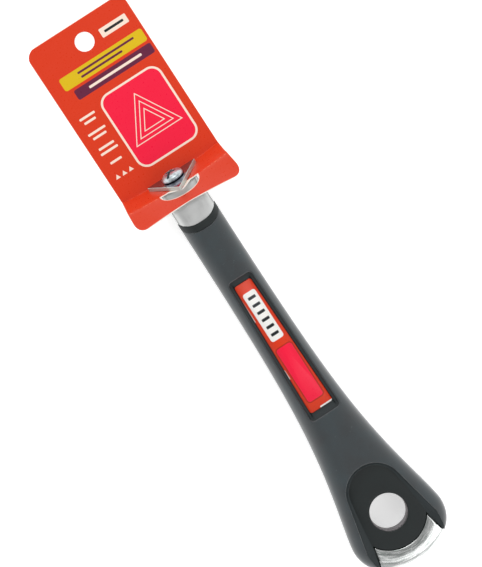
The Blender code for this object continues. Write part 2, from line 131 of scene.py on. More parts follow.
def new_material(name, **values):
    """A material with its Principled shader, whose even values are set on its own sockets."""
    made = bpy.data.materials.new(name)
    made.use_nodes = True
    shader = made.node_tree.nodes["Principled BSDF"]
    feed(made.node_tree, shader, {key.replace("_", " "): value for key, value in values.items()})
    return made, made.node_tree, shader


print("white is", linear("FFFFFF"), "and middle grey is", round(linear("808080")[0], 3))

# %% [markdown]
# ## Light, table and background
# The photograph is a plain catalogue picture: soft light from all sides on a white ground. A
# pale world gives the even part. One could add a single wide lamp, but the metal then turns all
# white or all grey. So two soft lamps hang overhead, past the head and past the butt. The tab of
# the card mirrors the first, and the edge of the second falls across the polished strike end, as
# in the photograph. The world is brighter at its horizon, which lightens the flanks of the grip.
# The table is lifted to white for the camera and for reflections, and it still darkens where the
# tool shades it.

# %% World, lamps and table
HORIZON_STRENGTH, ZENITH_STRENGTH = 1.6, 0.36
LAMP_SIZE = 0.5
LAMPS = {"head_softbox": ((0.12, 0.6, 0.8), (0.0, 0.0, 0.0), 1.88),
         "butt_softbox": ((0.29, -0.42, 0.85), (0.0, -0.1, 0.0), 1.2)}
TABLE_HALF, TABLE_LIFT = 3.0, 0.54

world = bpy.data.worlds.new("studio")
bpy.context.scene.world = world
world.use_nodes = True
sky = world.node_tree
sky.nodes.clear()
up = add_node(sky, "SeparateXYZ", {0: add_node(sky, "TexCoord").outputs["Generated"]})
lit = add_node(sky, "MapRange", {"Value": up.outputs["Z"], "To Min": HORIZON_STRENGTH,
                                 "To Max": ZENITH_STRENGTH})
soft_sky = add_node(sky, "Background", {"Color": linear("FFFFFF"), "Strength": lit})
add_node(sky, "OutputWorld", {"Surface": soft_sky})

for name, (place, aim, power) in LAMPS.items():
    light = bpy.data.lights.new(name, "AREA")
    light.size, light.energy = LAMP_SIZE, power
    lamp = add_object(name, light)
    lamp.location = place
    lamp.rotation_euler = (Vector(aim) - Vector(place)).to_track_quat("-Z", "Y").to_euler()

table_mesh = bpy.data.meshes.new("table")
corners = [(TABLE_HALF * x, TABLE_HALF * y, 0) for x, y in ((-1, -1), (1, -1), (1, 1), (-1, 1))]
table_mesh.from_pydata(corners, [], [(0, 1, 2, 3)])
table = add_object("table", table_mesh)
table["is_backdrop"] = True
table_white, tree, shader = new_material("white_table", Base_Color=linear("F2F2F2"), Roughness=0.8)
rays = add_node(tree, "LightPath")
glow = add_node(tree, "Emission", {"Color": linear("FFFFFF"), "Strength": TABLE_LIFT})
both = add_node(tree, "AddShader", {0: shader, 1: glow})
either = add_node(tree, "Math", {0: rays.outputs["Is Camera Ray"], 1: rays.outputs["Is Glossy Ray"]},
                  operation="MAXIMUM")
seen = add_node(tree, "MixShader", {0: either, 1: shader, 2: both})
feed(tree, tree.nodes["Material Output"], {"Surface": seen})
table_mesh.materials.append(table_white)
print("lamps:", list(LAMPS))

# %% [markdown]
# ## From arrays of points to a mesh
# Every new piece is a surface over two parameters: rows of points along one, columns along the
# other. One function turns such an array into quads. It can close the rows, the columns or both
# into a ring, and a row that shrinks to one point becomes a pole. Doubled points are merged and
# the faces are turned outwards, so that each piece is one closed skin.

# %% Surface helpers
HALF_LENGTH = 0.28669478 / 2


def joined(*parts):
    """Arrays or numbers side by side as the last axis of one array, such as X, Y and Z."""
    return np.stack(np.broadcast_arrays(*parts), axis=-1)


def placed(plan, height):
    """Points from places in plan, given as X and the station, and from their heights."""
    return joined(plan[..., 0], plan[..., 1] - HALF_LENGTH, height)


def pole(place, row):
    """A row of points that all lie in one place, as many as another row has."""
    return np.broadcast_to(place, row.shape)[None]


def capped(rings):
    """Rings closed at both ends by a fan to the ring's middle."""
    first, last = (pole(ring.mean(axis=0), ring) for ring in (rings[0], rings[-1]))
    return np.concatenate([first, rings, last])


def swept(profile, columns, centre=(0.0, 0.0)):
    """A surface of revolution about a vertical axis: a (radius, height) profile swept round."""
    radius, height = np.array(profile).T[:, :, None]
    sweep = np.linspace(0.0, 2 * np.pi, columns, endpoint=False)
    return joined(centre[0] + radius * np.cos(sweep), centre[1] + radius * np.sin(sweep), height)


def rounding(radius, steps):
    """A quarter circle that rounds an edge: its distances from the wall and from the top."""
    phi = np.radians(np.linspace(0.0, 90.0, steps))
    return radius * (1 - np.sin(phi)), radius * (1 - np.cos(phi))


def quadratic(t, before, corner, after):
    """A quadratic curve that turns a corner, from before it at t = 0 to after it at t = 1."""
    return (1 - t) ** 2 * before + 2 * t * (1 - t) * corner + t ** 2 * after


def bend_over(before, corner, after, steps):
    """Rows between two lines of points that turn over a third line, their corner."""
    return quadratic(np.linspace(0.0, 1.0, steps + 1)[:, None, None], before, corner, after)


def unit(vectors):
    """Vectors scaled to a length of one."""
    return vectors / np.linalg.norm(vectors, axis=-1, keepdims=True)


def towards(start, goal, distance):
    """The points at a distance from a start on the way to a goal."""
    return start + unit(goal - start) * distance


def surface(name, points, close_rows=False, close_columns=True, sharp=None):
    """A mesh object from points[row, column], smooth except at edges over an angle in degrees."""
    rows, columns = points.shape[:2]
    index = np.arange(rows * columns).reshape(rows, columns)
    if close_rows:
        index = np.vstack([index, index[:1]])
    if close_columns:
        index = np.hstack([index, index[:, :1]])
    quads = joined(index[:-1, :-1], index[:-1, 1:], index[1:, 1:], index[1:, :-1])
    mesh = bpy.data.meshes.new(name)
    mesh.from_pydata(points.reshape(-1, 3).tolist(), [], quads.reshape(-1, 4).tolist())
    work = bmesh.new()
    work.from_mesh(mesh)
    bmesh.ops.remove_doubles(work, verts=work.verts, dist=1e-7)
    bmesh.ops.dissolve_degenerate(work, edges=work.edges, dist=1e-8)
    bmesh.ops.recalc_face_normals(work, faces=work.faces)
    if work.calc_volume(signed=True) < 0:
        bmesh.ops.reverse_faces(work, faces=work.faces)
    work.to_mesh(mesh)
    work.free()
    mesh.shade_smooth()
    if sharp:
        mesh.set_sharp_from_angle(angle=math.radians(sharp))
    return add_object(name, mesh)


def cut(piece, *cutters, sharp=35.0):
    """Cut cutters out of a piece, keep the result as its mesh, and remove the cutters."""
    for cutter in cutters:
        modifier = piece.modifiers.new(cutter.name, "BOOLEAN")
        modifier.operation = "DIFFERENCE"
        modifier.solver = "EXACT"
        modifier.object = cutter
    graph = bpy.context.evaluated_depsgraph_get()
    result = bpy.data.meshes.new_from_object(piece.evaluated_get(graph))
    piece.modifiers.clear()
    piece.data = result
    result.shade_smooth()
    result.set_sharp_from_angle(angle=math.radians(sharp))
    for cutter in cutters:
        bpy.data.objects.remove(cutter)
    print(piece.name, "has", len(result.polygons), "faces")


print("the tool and its card are", round(2000 * HALF_LENGTH, 1), "mm long")

# %% [markdown]
# ## The handle's shape
# The handle is a neck that flares to a broad butt. Its section is a superellipse: rounder at
# the neck and boxier at the butt, with soft flats above and below that grow towards the butt.
# One function gives the point for a station, which is the distance from the butt end, and a
# turn round the section. The grip, the hard handle and the label all follow it.

# %% Handle form
AXIS_Z = 0.00925
NECK_HALF_WIDTH = 0.0098
FLARE, FLARE_FADE, FLARE_POWER = 0.01325, 0.043, 1.32
WIDEST_STATION = 0.0167
CORNER_ACROSS, CORNER_ALONG, CORNER_POWER = 0.0145, 0.015, 2.15
BUTT_HALF_HEIGHT, COLLAR_HALF_HEIGHT, BUTT_ROUND = 0.00925, 0.007, 0.005
TAPER_STATION, SHOULDER_STATION = 0.075, 0.1786
NECK_POWER, BUTT_POWER = 2.15, 3.3
NECK_SWELL, BUTT_SWELL, SOFT_CLIP = 1.01, 1.11, 0.03


def half_width(station, inset):
    """Neck plus flare: a bell that fades along the handle, then a rounded corner at the butt."""
    flare = np.exp(-(np.maximum(station - WIDEST_STATION, 0.0) / FLARE_FADE) ** FLARE_POWER)
    middle = NECK_HALF_WIDTH + FLARE - CORNER_ACROSS
    share = np.clip((WIDEST_STATION - station) / (CORNER_ALONG - inset), 0.0, 1.0)
    corner = middle + (CORNER_ACROSS - inset) * (1.0 - share ** CORNER_POWER) ** (1 / CORNER_POWER)
    return np.where(station >= WIDEST_STATION, NECK_HALF_WIDTH + FLARE * flare - inset, corner), flare


def half_height(station, inset):
    """A straight taper towards the neck, and a quarter circle at the butt end."""
    share = (station - TAPER_STATION) / (SHOULDER_STATION - TAPER_STATION)
    taper = BUTT_HALF_HEIGHT + share * (COLLAR_HALF_HEIGHT - BUTT_HALF_HEIGHT) - inset
    radius = BUTT_ROUND - inset
    left = np.clip(radius - (station - WIDEST_STATION + CORNER_ALONG - inset), 0.0, radius)
    end = BUTT_HALF_HEIGHT - BUTT_ROUND + np.sqrt(radius ** 2 - left ** 2)
    return np.where(station >= TAPER_STATION, taper, end)


def soft_flat(rise):
    """Hold a swollen rise under 1 with a rounded shoulder: x minus k log(1 + exp((x - 1) / k))."""
    size = np.abs(rise)
    return np.sign(rise) * (size - SOFT_CLIP * np.log1p(np.exp((size - 1.0) / SOFT_CLIP)))


def section(station, inset):
    """Half width, superellipse power and swell of the handle's section at a station."""
    half_w, flare = half_width(station, inset)
    power = NECK_POWER + (BUTT_POWER - NECK_POWER) * flare
    return half_w, power, NECK_SWELL + (BUTT_SWELL - NECK_SWELL) * flare


def superellipse(turn, power):
    """The point of |x|^p + |z|^p = 1 at a turn round its middle."""
    return [np.sign(part) * np.abs(part) ** (2 / power) for part in (np.cos(turn), np.sin(turn))]


def handle_point(station, turn, inset=0.0):
    """The superellipse of a section, scaled to the handle's half width and half height."""
    half_w, power, swell = section(station, inset)
    across, rise = superellipse(turn, power)
    z = AXIS_Z + half_height(station, inset) * soft_flat(rise * swell)
    return joined(half_w * across, station - HALF_LENGTH, z)


def top_height(x, station, inset=0.0):
    """The height of the handle's upper side over a place in plan."""
    half_w, power, swell = section(station, inset)
    side_share = np.clip(np.abs(x) / half_w, 0.0, 1.0) ** power
    rise = (1.0 - side_share) ** (1 / power) * swell
    return AXIS_Z + half_height(station, inset) * soft_flat(rise)


some_halves = half_width(np.array([0.017, 0.08, 0.17]), 0.0)[0]
print("half widths at 17, 80 and 170 mm:", np.round(1000 * some_halves, 1))

# %% [markdown]
# ## The soft grip
# The grip is a skin of soft rubber moulded over the hard handle. It starts at a U near the neck
# and ends at an arch round the hang hole, on both sides, with a window for the label. It could
# be cut out of a plain tube, but cuts leave hard rims. Here each line along the handle runs from
# the U to the arch, found by halving, and turns over a small curve into the wall of the rim.

# %% Soft grip
GRIP_THICKNESS = 0.00175
GRIP_FRONT_STATION = 0.1749
U_DEPTH, U_POWER = 0.0048, 3.0
ARCH_RADIUS, ARCH_STATION = 0.01321, 0.03519
ARCH_JOIN_HALF, ARCH_JOIN_STATION = 0.01291, 0.03797
ARCH_WIDE_HALF, ARCH_WIDE_STATION = 0.0183, 0.013
ARCH_END_HALF, ARCH_END_STATION = 0.0166, 0.0015
ARCH_SLOPE = 0.0007
GRIP_COLUMNS, GRIP_ROWS, INNER_ROWS, HALVINGS = 256, 170, 24, 50
FRONT_ROUND, ARCH_ROUND = 0.0003, 0.0005


def u_station(x, bottom):
    """A U across the neck: the bottom's station, plus a cube of the distance from the middle."""
    return bottom + U_DEPTH * (np.abs(x) / NECK_HALF_WIDTH) ** U_POWER


def arch_half(station, grow):
    """Half the width of the arch opening: an arc that runs smoothly into two straight sides."""
    radius = ARCH_RADIUS + grow
    dome = np.sqrt(np.maximum(radius ** 2 - (station - ARCH_STATION) ** 2, 0.0))
    sides = np.interp(station, [ARCH_END_STATION, ARCH_WIDE_STATION, ARCH_JOIN_STATION],
                      [ARCH_END_HALF, ARCH_WIDE_HALF, ARCH_JOIN_HALF]) + grow
    return np.where(station > ARCH_JOIN_STATION, dome, sides)


def arch_station(turn, inset, grow):
    """Where each line of the surface enters the arch, found by halving the stretch over and over."""
    low = np.full_like(turn, ARCH_END_STATION)
    high = np.full_like(turn, ARCH_STATION + ARCH_RADIUS + grow)
    for _ in range(HALVINGS):
        middle = (low + high) / 2
        inside = np.abs(handle_point(middle, turn, inset)[..., 0]) < arch_half(middle, grow)
        low, high = np.where(inside, middle, low), np.where(inside, high, middle)
    return (low + high) / 2


turn = np.linspace(0.0, 2 * np.pi, GRIP_COLUMNS, endpoint=False) + np.pi / GRIP_COLUMNS
front_x = handle_point(np.full_like(turn, GRIP_FRONT_STATION), turn)[:, 0]
front = u_station(front_x, GRIP_FRONT_STATION)
back = arch_station(turn, 0.0, ARCH_SLOPE / 2)
inner_back = arch_station(turn, GRIP_THICKNESS, -ARCH_SLOPE / 2)

share = np.linspace(0.0, 1.0, GRIP_ROWS)[:, None]
outer = handle_point(front + (back - front) * share, turn)
share = np.linspace(0.0, 1.0, INNER_ROWS)[:, None]
inner = handle_point(inner_back + (front - inner_back) * share, turn, GRIP_THICKNESS)
outer[0] = towards(outer[0], outer[2], FRONT_ROUND)
outer[-1] = towards(outer[-1], outer[-3], ARCH_ROUND)
front_edge, back_edge = handle_point(front, turn), handle_point(back, turn)
over_back = bend_over(outer[-1], back_edge, towards(back_edge, inner[0], ARCH_ROUND), 5)
over_front = bend_over(towards(front_edge, inner[-1], FRONT_ROUND), front_edge, outer[0], 4)
grip_points = np.concatenate([outer, over_back[1:], inner, over_front[:-1]])
grip = surface("grip_skin", grip_points, close_rows=True)
print("grip rows and columns:", grip_points.shape[:2])

# %% [markdown]
# ## The label's window in the grip
# The window is a tapered opening with round corners and a soft rim. It reaches a little further
# to the right than to the left. The cutter is a profile carried round the window's outline: it
# flares like a rounding-over bit, and each of its rings follows the slope of the handle, so that
# the rim is even all the way round.

# %% Label window
WINDOW_STATIONS = (0.0767, 0.1484)
WINDOW_HALVES = (0.0072, 0.0056)
WINDOW_CORNER, WINDOW_ROUND, WINDOW_RIGHT = 0.0019, 0.0008, 0.0008
WINDOW_STEPS, CORNER_STEPS, RING_SPACING = 8, 6, 0.002
CUT_ABOVE, CUT_LIFT = 0.002, 0.00002


def rounded_outline(corners, radius, steps):
    """Points and normals of an outline whose corners are arcs about centres on their bisectors."""
    corners = np.array(corners)
    back, ahead = (unit(np.roll(corners, shift, axis=0) - corners) for shift in (1, -1))
    half = np.arccos(np.clip((back * ahead).sum(axis=1), -1.0, 1.0))[:, None] / 2
    middle = corners + unit(back + ahead) * radius / np.sin(half)
    first = (corners + back * radius / np.tan(half) - middle)[:, None] / radius
    last = (corners + ahead * radius / np.tan(half) - middle)[:, None] / radius
    t = np.linspace(0.0, 1.0, steps + 1)[None, :, None]
    spread = np.pi - 2 * half[:, None]
    normals = (np.sin((1 - t) * spread) * first + np.sin(t * spread) * last) / np.sin(spread)
    points = (middle[:, None] + radius * normals).reshape(-1, 2)
    both = even_steps(np.hstack([points, normals.reshape(-1, 2)]), RING_SPACING)
    return both[:, :2], both[:, 2:]


def even_steps(loop, spacing):
    """A closed loop with points added at even steps of its length, measured on its X and Y."""
    loop = np.vstack([loop, loop[:1]])
    steps = np.linalg.norm(np.diff(loop[:, :2], axis=0), axis=1)
    length = np.concatenate([[0.0], np.cumsum(steps)])
    stops = np.unique(np.round(np.concatenate([length[:-1], np.arange(0.0, length[-1], spacing)]), 6))
    return joined(*(np.interp(stops, length, numbers) for numbers in loop.T))


def window_corners(left=0.0, right=0.0, butt_end=0.0, neck_end=0.0):
    """The four corners of the tapered window, with its sides and its ends drawn in."""
    (near, far), (wide, narrow) = WINDOW_STATIONS, WINDOW_HALVES
    near, far = near + butt_end, far - neck_end
    return [(left - wide, near), (wide + WINDOW_RIGHT - right, near),
            (narrow + WINDOW_RIGHT - right, far), (left - narrow, far)]


def draped(name, corners, radius, steps, offsets, depths, inset, sharp=None):
    """A slab whose rings follow the handle, at offsets round an outline and depths below it."""
    outline, normals = rounded_outline(corners, radius, steps)
    plan = outline[None] + normals[None] * np.array(offsets)[:, None, None]
    z = top_height(plan[..., 0], plan[..., 1], inset) - np.array(depths)[:, None]
    return surface(name, capped(placed(plan, z)), sharp=sharp)


out, down = rounding(WINDOW_ROUND, 9)
cut(grip, draped("window_cutter", window_corners(), WINDOW_CORNER, WINDOW_STEPS,
                 [WINDOW_ROUND, *out, 0.0], [-CUT_ABOVE, *(down - CUT_LIFT), 2 * GRIP_THICKNESS], 0.0))

# %% [markdown]
# ## The hard handle under the grip
# The hard plastic shows as the black collar at the neck, as the floor of the arch round the
# hang hole, and as the pocket under the label. It is one long surface, ring by ring from the
# butt to the collar, whose last rings follow the U. Cutters then open the hang hole, the gap for
# the metal strike end and the label's pocket. A plain step from grip to floor would look
# stamped. On the real tool the plastic sweeps up to the grip's rim, both round the label and
# along the arch, where it is narrow at the top and broad at the legs. So a fillet of the same
# plastic is carried round the window and along the arch.

# %% Hard handle
GRIP_CLEARANCE, UNDER_END, UNDER_ROWS = 0.0003, 0.168, 70
BODY_INSET = GRIP_THICKNESS + GRIP_CLEARANCE
HOLE_STATION, HOLE_MOUTH_RADIUS, HOLE_ROUND, HOLE_UNDERCUT = 0.0246, 0.0086, 0.0005, 0.0007
HOLE_CUT_RISE, HOLE_COLUMNS = 0.02, 72
COLLAR_ROUND, COLLAR_STEPS, COLLAR_GAP = 0.00035, 6, 0.0001
POCKET_INSETS, POCKET_DEPTH = (0.0004, 0.0004, 0.0014, 0.0014), 0.00045

end = WIDEST_STATION - (CORNER_ALONG - BODY_INSET)
bend = np.linspace(0.0, np.pi / 2, 12, endpoint=False)
stations = np.concatenate([WIDEST_STATION - (WIDEST_STATION - end) * np.cos(bend),
                           np.linspace(WIDEST_STATION, UNDER_END, UNDER_ROWS)])[:, None]
under = handle_point(stations, turn, BODY_INSET)
collar_back = u_station(front_x, GRIP_FRONT_STATION + COLLAR_GAP)
collar_front = u_station(front_x, SHOULDER_STATION)
foot = handle_point(collar_back, turn, BODY_INSET)
heel, toe = handle_point(collar_back, turn), handle_point(collar_front, turn)
share = np.linspace(0.0, 1.0, COLLAR_STEPS)[:, None]
band = handle_point(collar_back + (collar_front - collar_back) * share, turn)
band[0], band[-1] = towards(band[0], band[1], COLLAR_ROUND), towards(band[-1], band[-2], COLLAR_ROUND)
face = handle_point(collar_front, turn, 3 * BODY_INSET)
body_points = np.concatenate([
    pole((0.0, end - HALF_LENGTH, AXIS_Z), foot), under, foot[None],
    bend_over(towards(heel, foot, COLLAR_ROUND), heel, band[0], 3), band[1:-1],
    bend_over(band[-1], toe, towards(toe, face, COLLAR_ROUND), 4), face[None],
    pole((0.0, SHOULDER_STATION - HALF_LENGTH, AXIS_Z), face)])
hard_body = surface("hard_handle", body_points)

floor_rise = BUTT_HALF_HEIGHT - BODY_INSET
out, down = rounding(HOLE_ROUND, 6)
rim = joined(HOLE_MOUTH_RADIUS + out, floor_rise + CUT_LIFT - down)
upper = np.concatenate([[(0.0, HOLE_CUT_RISE), (HOLE_MOUTH_RADIUS + HOLE_ROUND, HOLE_CUT_RISE)], rim])
lower = upper[::-1] * (1, -1) + np.where(upper[::-1, :1] > 0, (HOLE_UNDERCUT, 0.0), 0.0)
hole_centre = (0.0, HOLE_STATION - HALF_LENGTH)
hole_profile = np.concatenate([upper, lower]) + (0.0, AXIS_Z)
hole_cutter = surface("hole_cutter", swept(hole_profile, HOLE_COLUMNS, hole_centre))
print("the arch floor is at", round(1000 * (AXIS_Z + floor_rise), 2), "mm")

# %% The strike end's gap and the label's pocket
STRIKE_STATION, STRIKE_INNER_RADIUS, STRIKE_INNER_HALF = 0.0248, 0.0168, 0.0142
STRIKE_OUTER_RADIUS, STRIKE_OUTER_HALF = 0.0322, 0.0166
GAP_LOW, GAP_HIGH, GAP_PAST = -0.004, 0.024, -0.01


def strike_arcs(along, gap, edge=0.0, pull=0.0):
    """The inner and outer arcs of the strike end, for a share from -1 to 1 across it.

    An edge draws the two arcs together, and a pull draws in their ends.
    """
    inner_r, outer_r = STRIKE_INNER_RADIUS + gap + edge, STRIKE_OUTER_RADIUS - edge
    inner_a = along * np.arcsin((STRIKE_INNER_HALF - gap - pull) / inner_r)
    outer_a = along * np.arcsin((STRIKE_OUTER_HALF - gap - pull) / outer_r)
    return (joined(inner_r * np.sin(inner_a), STRIKE_STATION - inner_r * np.cos(inner_a)),
            joined(outer_r * np.sin(outer_a), STRIKE_OUTER_RADIUS - outer_r * np.cos(outer_a)))


def upright_loops(near, far, low, high):
    """A ring of four corners for each pair of plan points: near and far, at two heights."""
    return placed(np.stack([near, far, far, near], axis=1), np.array([low, low, high, high]))


along = np.linspace(-1.0, 1.0, 41)
near = strike_arcs(along, 0.0)[0]
strike_side = [line[-1] for line in strike_arcs(along, 0.0)]
far = joined(STRIKE_OUTER_HALF * along, GAP_PAST)
gap_cutter = surface("gap_cutter", capped(upright_loops(near, far, GAP_LOW, GAP_HIGH)))
pocket_cutter = draped("pocket_cutter", window_corners(*POCKET_INSETS), WINDOW_CORNER / 2, CORNER_STEPS,
                       [0.0, 0.0], [GAP_LOW, POCKET_DEPTH], BODY_INSET)
cut(hard_body, gap_cutter, hole_cutter, pocket_cutter)

# %% The window's sloping frame
FRAME_SIDE, FRAME_NEAR_END, FRAME_FAR_END = 0.0015, 0.0032, 0.0025
FRAME_TOP, FRAME_FOOT, FRAME_STEPS, FRAME_TUCK = 0.0005, 0.0021, 6, 0.1

outline, normals = rounded_outline(window_corners(), WINDOW_CORNER, WINDOW_STEPS)
end_reach = np.where(normals[:, 1] > 0, FRAME_FAR_END, FRAME_NEAR_END)
reach = FRAME_SIDE * normals[:, 0] ** 2 + end_reach * normals[:, 1] ** 2
share = np.array([-FRAME_TUCK, *np.linspace(0.0, 1.0, FRAME_STEPS + 1), 1.0, -FRAME_TUCK])
depth = FRAME_TOP + (FRAME_FOOT - FRAME_TOP) * (1 - (1 - np.clip(share, 0.0, 1.0)) ** 2)
depth[-2:] = FRAME_FOOT + POCKET_DEPTH
plan = outline - normals * reach[:, None] * share[:, None, None]
frame_points = placed(plan, top_height(plan[..., 0], plan[..., 1]) - depth[:, None])
window_frame = surface("window_frame", frame_points, close_rows=True, sharp=40)
print("window frame:", len(window_frame.data.polygons), "faces")

# %% The arch's sloping wall
WALL_SLOPES, WALL_DROP, WALL_STEPS = (0.0012, 0.0038), 0.0003, 8
WALL_TUCK, WALL_LEAST = 0.0002, 0.00005


def arch_path():
    """The arch in plan with its outward normals: up one leg, round the dome, down the other."""
    stations = np.linspace(ARCH_END_STATION, ARCH_JOIN_STATION, 120, endpoint=False)
    leg = joined(arch_half(stations, 0.0), stations)
    leg = leg[leg[:, 0] < half_width(stations, WALL_DROP)[0]]
    first = math.acos(ARCH_JOIN_HALF / ARCH_RADIUS)
    around = np.linspace(first, np.pi - first, 60)
    dome = joined(ARCH_RADIUS * np.cos(around), ARCH_STATION + ARCH_RADIUS * np.sin(around))
    path = np.concatenate([leg, dome, leg[::-1] * (-1, 1)])
    along_path = np.gradient(path, axis=0)
    return path, unit(joined(along_path[:, 1], -along_path[:, 0]))


def arch_wall(name, side):
    """A fillet along the arch: depth is 1 - (1 - d)^2 of the floor's, at a share d of its reach.

    The reach grows from the dome to the legs, and stops at the side of the strike end.
    """
    path, normals = arch_path()
    top = ARCH_STATION + ARCH_RADIUS
    leg_share = np.clip((top - path[:, 1]) / (top - ARCH_WIDE_STATION), 0.0, 1.0)
    full = WALL_SLOPES[0] + (WALL_SLOPES[1] - WALL_SLOPES[0]) * leg_share ** 2
    (inner_x, inner_y), (outer_x, outer_y) = strike_side
    to_strike = np.abs(path[:, 0]) - np.interp(path[:, 1], [outer_y, inner_y], [outer_x, inner_x])
    reach = np.where(path[:, 1] > inner_y, full, np.clip(to_strike, WALL_LEAST, full))
    rings = []
    for step in (-1, *range(WALL_STEPS + 1), WALL_STEPS + 1):
        away = WALL_TUCK - (reach + WALL_TUCK) * np.clip(step, 0, WALL_STEPS) / WALL_STEPS
        depth = WALL_DROP + (BODY_INSET - WALL_DROP) * (1 - (1 + np.minimum(away, 0.0) / full) ** 2)
        plan = path + normals * away[:, None]
        rise = top_height(plan[:, 0], plan[:, 1]) - AXIS_Z - depth
        rise = 0.0 * rise if step in (-1, WALL_STEPS + 1) else np.maximum(rise, 0.0)
        rings.append(placed(plan, AXIS_Z + side * rise))
    return surface(name, capped(np.stack(rings, axis=1)), sharp=40)


wall_above, wall_below = arch_wall("arch_wall_above", 1), arch_wall("arch_wall_below", -1)
print("arch walls:", len(wall_above.data.polygons), "faces each")

# %% [markdown]
# ## The metal casting
# The core is one die casting of zinc. It shows as the neck, as a dull ring in the hang hole,
# whose darker tint is painted shade, and as the strike end at the butt. The neck is a rounded
# bar whose lines all end on the plane of the blade's seat. The strike end is a rounded rectangle
# carried along between two arcs.

# %% Neck
SHANK_HALVES = (0.0095, 0.0092)
SHANK_HALF_HEIGHT, SHANK_POWER = 0.006, 4.0
SEAT_STATION = 0.19918567
NECK_SETBACK, NECK_WAIST = 0.0012, 0.0005
BLADE_TILT = math.radians(66.0)
NECK_ROUND = 0.0007
NECK_COLUMNS, NECK_ROWS = 128, 40


def shank_point(share, turn, grow=0.0, setback=0.0):
    """A superellipse bar whose rows slide from the collar's U to the slanted plane of the seat."""
    across, rise = superellipse(turn, SHANK_POWER)
    z = (SHANK_HALF_HEIGHT + grow) * rise
    start = u_station(SHANK_HALVES[0] * across, SHOULDER_STATION) - setback
    station = start + (SEAT_STATION - z / math.tan(BLADE_TILT) - start) * share
    half = SHANK_HALVES[0] + (SHANK_HALVES[1] - SHANK_HALVES[0]) * share + grow
    return joined(half * across, station - HALF_LENGTH, AXIS_Z + z)


neck_turn = np.linspace(0.0, 2 * np.pi, NECK_COLUMNS, endpoint=False)
bar = shank_point(np.linspace(0.0, 1.0, NECK_ROWS)[:, None], neck_turn)
seat_middle = np.array([0.0, SEAT_STATION - HALF_LENGTH, AXIS_Z])
bar[-1] = towards(bar[-1], bar[-2], NECK_ROUND)
lip = shank_point(1.0, neck_turn)
lip_in = lip + (seat_middle - lip) * NECK_ROUND / SHANK_HALF_HEIGHT
waist = [shank_point(0.0, neck_turn, -NECK_WAIST, setback) for setback in (NECK_SETBACK, 0.0)]
neck_points = np.concatenate([
    pole((0.0, SHOULDER_STATION - NECK_SETBACK - HALF_LENGTH, AXIS_Z), lip), waist, bar,
    bend_over(bar[-1], lip, lip_in, 4)[1:], pole(seat_middle, lip)])
neck = surface("casting_neck", neck_points, sharp=40)
print("the seat's middle is at", np.round(1000 * seat_middle, 2), "mm")

# %% Strike end and hole ring
STRIKE_HALF_HEIGHT, STRIKE_ROUNDS = 0.0065, (0.0011, 0.0016)
STRIKE_END_ROUND, STRIKE_GAP = 0.0007, 0.0001
END_STEPS, STRIKE_STEPS = 6, 50
HOLE_RADIUS, RING_TOP, RING_BOTTOM = 0.0084, 0.0052, -0.0015
RING_WALL, RING_ROUND, RING_COLUMNS = 0.0012, 0.00025, 96

out, down = rounding(STRIKE_END_ROUND, END_STEPS)
middle = np.linspace(-1.0, 1.0, STRIKE_STEPS)[1:-1]
along = np.concatenate([-np.ones(END_STEPS), middle, np.ones(END_STEPS)])
edge = np.concatenate([down[::-1], 0.0 * middle, down])
pull = np.concatenate([out[::-1], STRIKE_END_ROUND + 0.0 * middle, out])
near, far = strike_arcs(along, STRIKE_GAP, edge, pull)
width = np.linalg.norm(far - near, axis=1)
(inner_out, inner_down), (outer_out, outer_down) = (np.array(rounding(radius, 7))[..., None]
                                                    for radius in STRIKE_ROUNDS)
across = np.concatenate([width - outer_down, inner_out + 0.0 * width])
height = STRIKE_HALF_HEIGHT - edge - np.concatenate([outer_out, inner_down])
across, height = np.concatenate([across, across[::-1]]), np.concatenate([height, -height[::-1]])
plan = near + (far - near) / width[:, None] * across[..., None]
strike_points = capped(placed(plan, AXIS_Z + height).swapaxes(0, 1)).swapaxes(0, 1)
strike = surface("strike_end", strike_points, close_rows=True, close_columns=False, sharp=50)

out, down = rounding(RING_ROUND, 5)
outside = HOLE_RADIUS + RING_WALL
profile = np.concatenate([[(outside, RING_TOP)], joined(HOLE_RADIUS + out, RING_TOP - down),
                          [(HOLE_RADIUS, RING_BOTTOM), (outside, RING_BOTTOM), (outside, RING_TOP)]])
hole_ring = surface("hole_ring", swept(profile + (0.0, AXIS_Z), RING_COLUMNS, hole_centre), sharp=50)
print("strike end and ring:", len(strike.data.polygons), len(hole_ring.data.polygons), "faces")

# %% [markdown]
# ## The label
# A strip of varnished paper lies in the middle of the window, stuck to the pocket's floor. It is
# a thin slab whose rings follow the slope of that floor, with its edge turned down a little, as
# stuck paper is.

# %% Label
LABEL_INSETS, LABEL_CORNER = (0.0017, 0.0018, 0.0034, 0.0027), 0.001
LABEL_LOW, LABEL_HIGH, LABEL_ROUND = -0.0004, -0.0001, 0.00012

label = draped("paper_label", window_corners(*LABEL_INSETS), LABEL_CORNER, CORNER_STEPS,
               [-LABEL_ROUND, 0.0, 0.0, -LABEL_ROUND],
               [-LABEL_HIGH, LABEL_ROUND - LABEL_HIGH, -LABEL_LOW, -LABEL_LOW], BODY_INSET, sharp=60)
print("label:", len(label.data.polygons), "faces")

# %% [markdown]
# ## The blade
# The blade is a triangle of sintered carbide, an inch on a side, with ground edges and a hole in
# the middle. Rows run from the hole's rim on one face, over the edge, to the rim on the other.
# It is worked out flat on its seat and then turned to the seat's slant as one array.

# %% Blade
BLADE_SIDE, BLADE_THICKNESS, BLADE_BACK = 0.0254, 0.002, 0.0011
BLADE_CORNER_FLAT, BLADE_HOLE_RADIUS, BLADE_CHAMFER, BLADE_SPACING = 0.0003, 0.0028, 0.00014, 0.0008


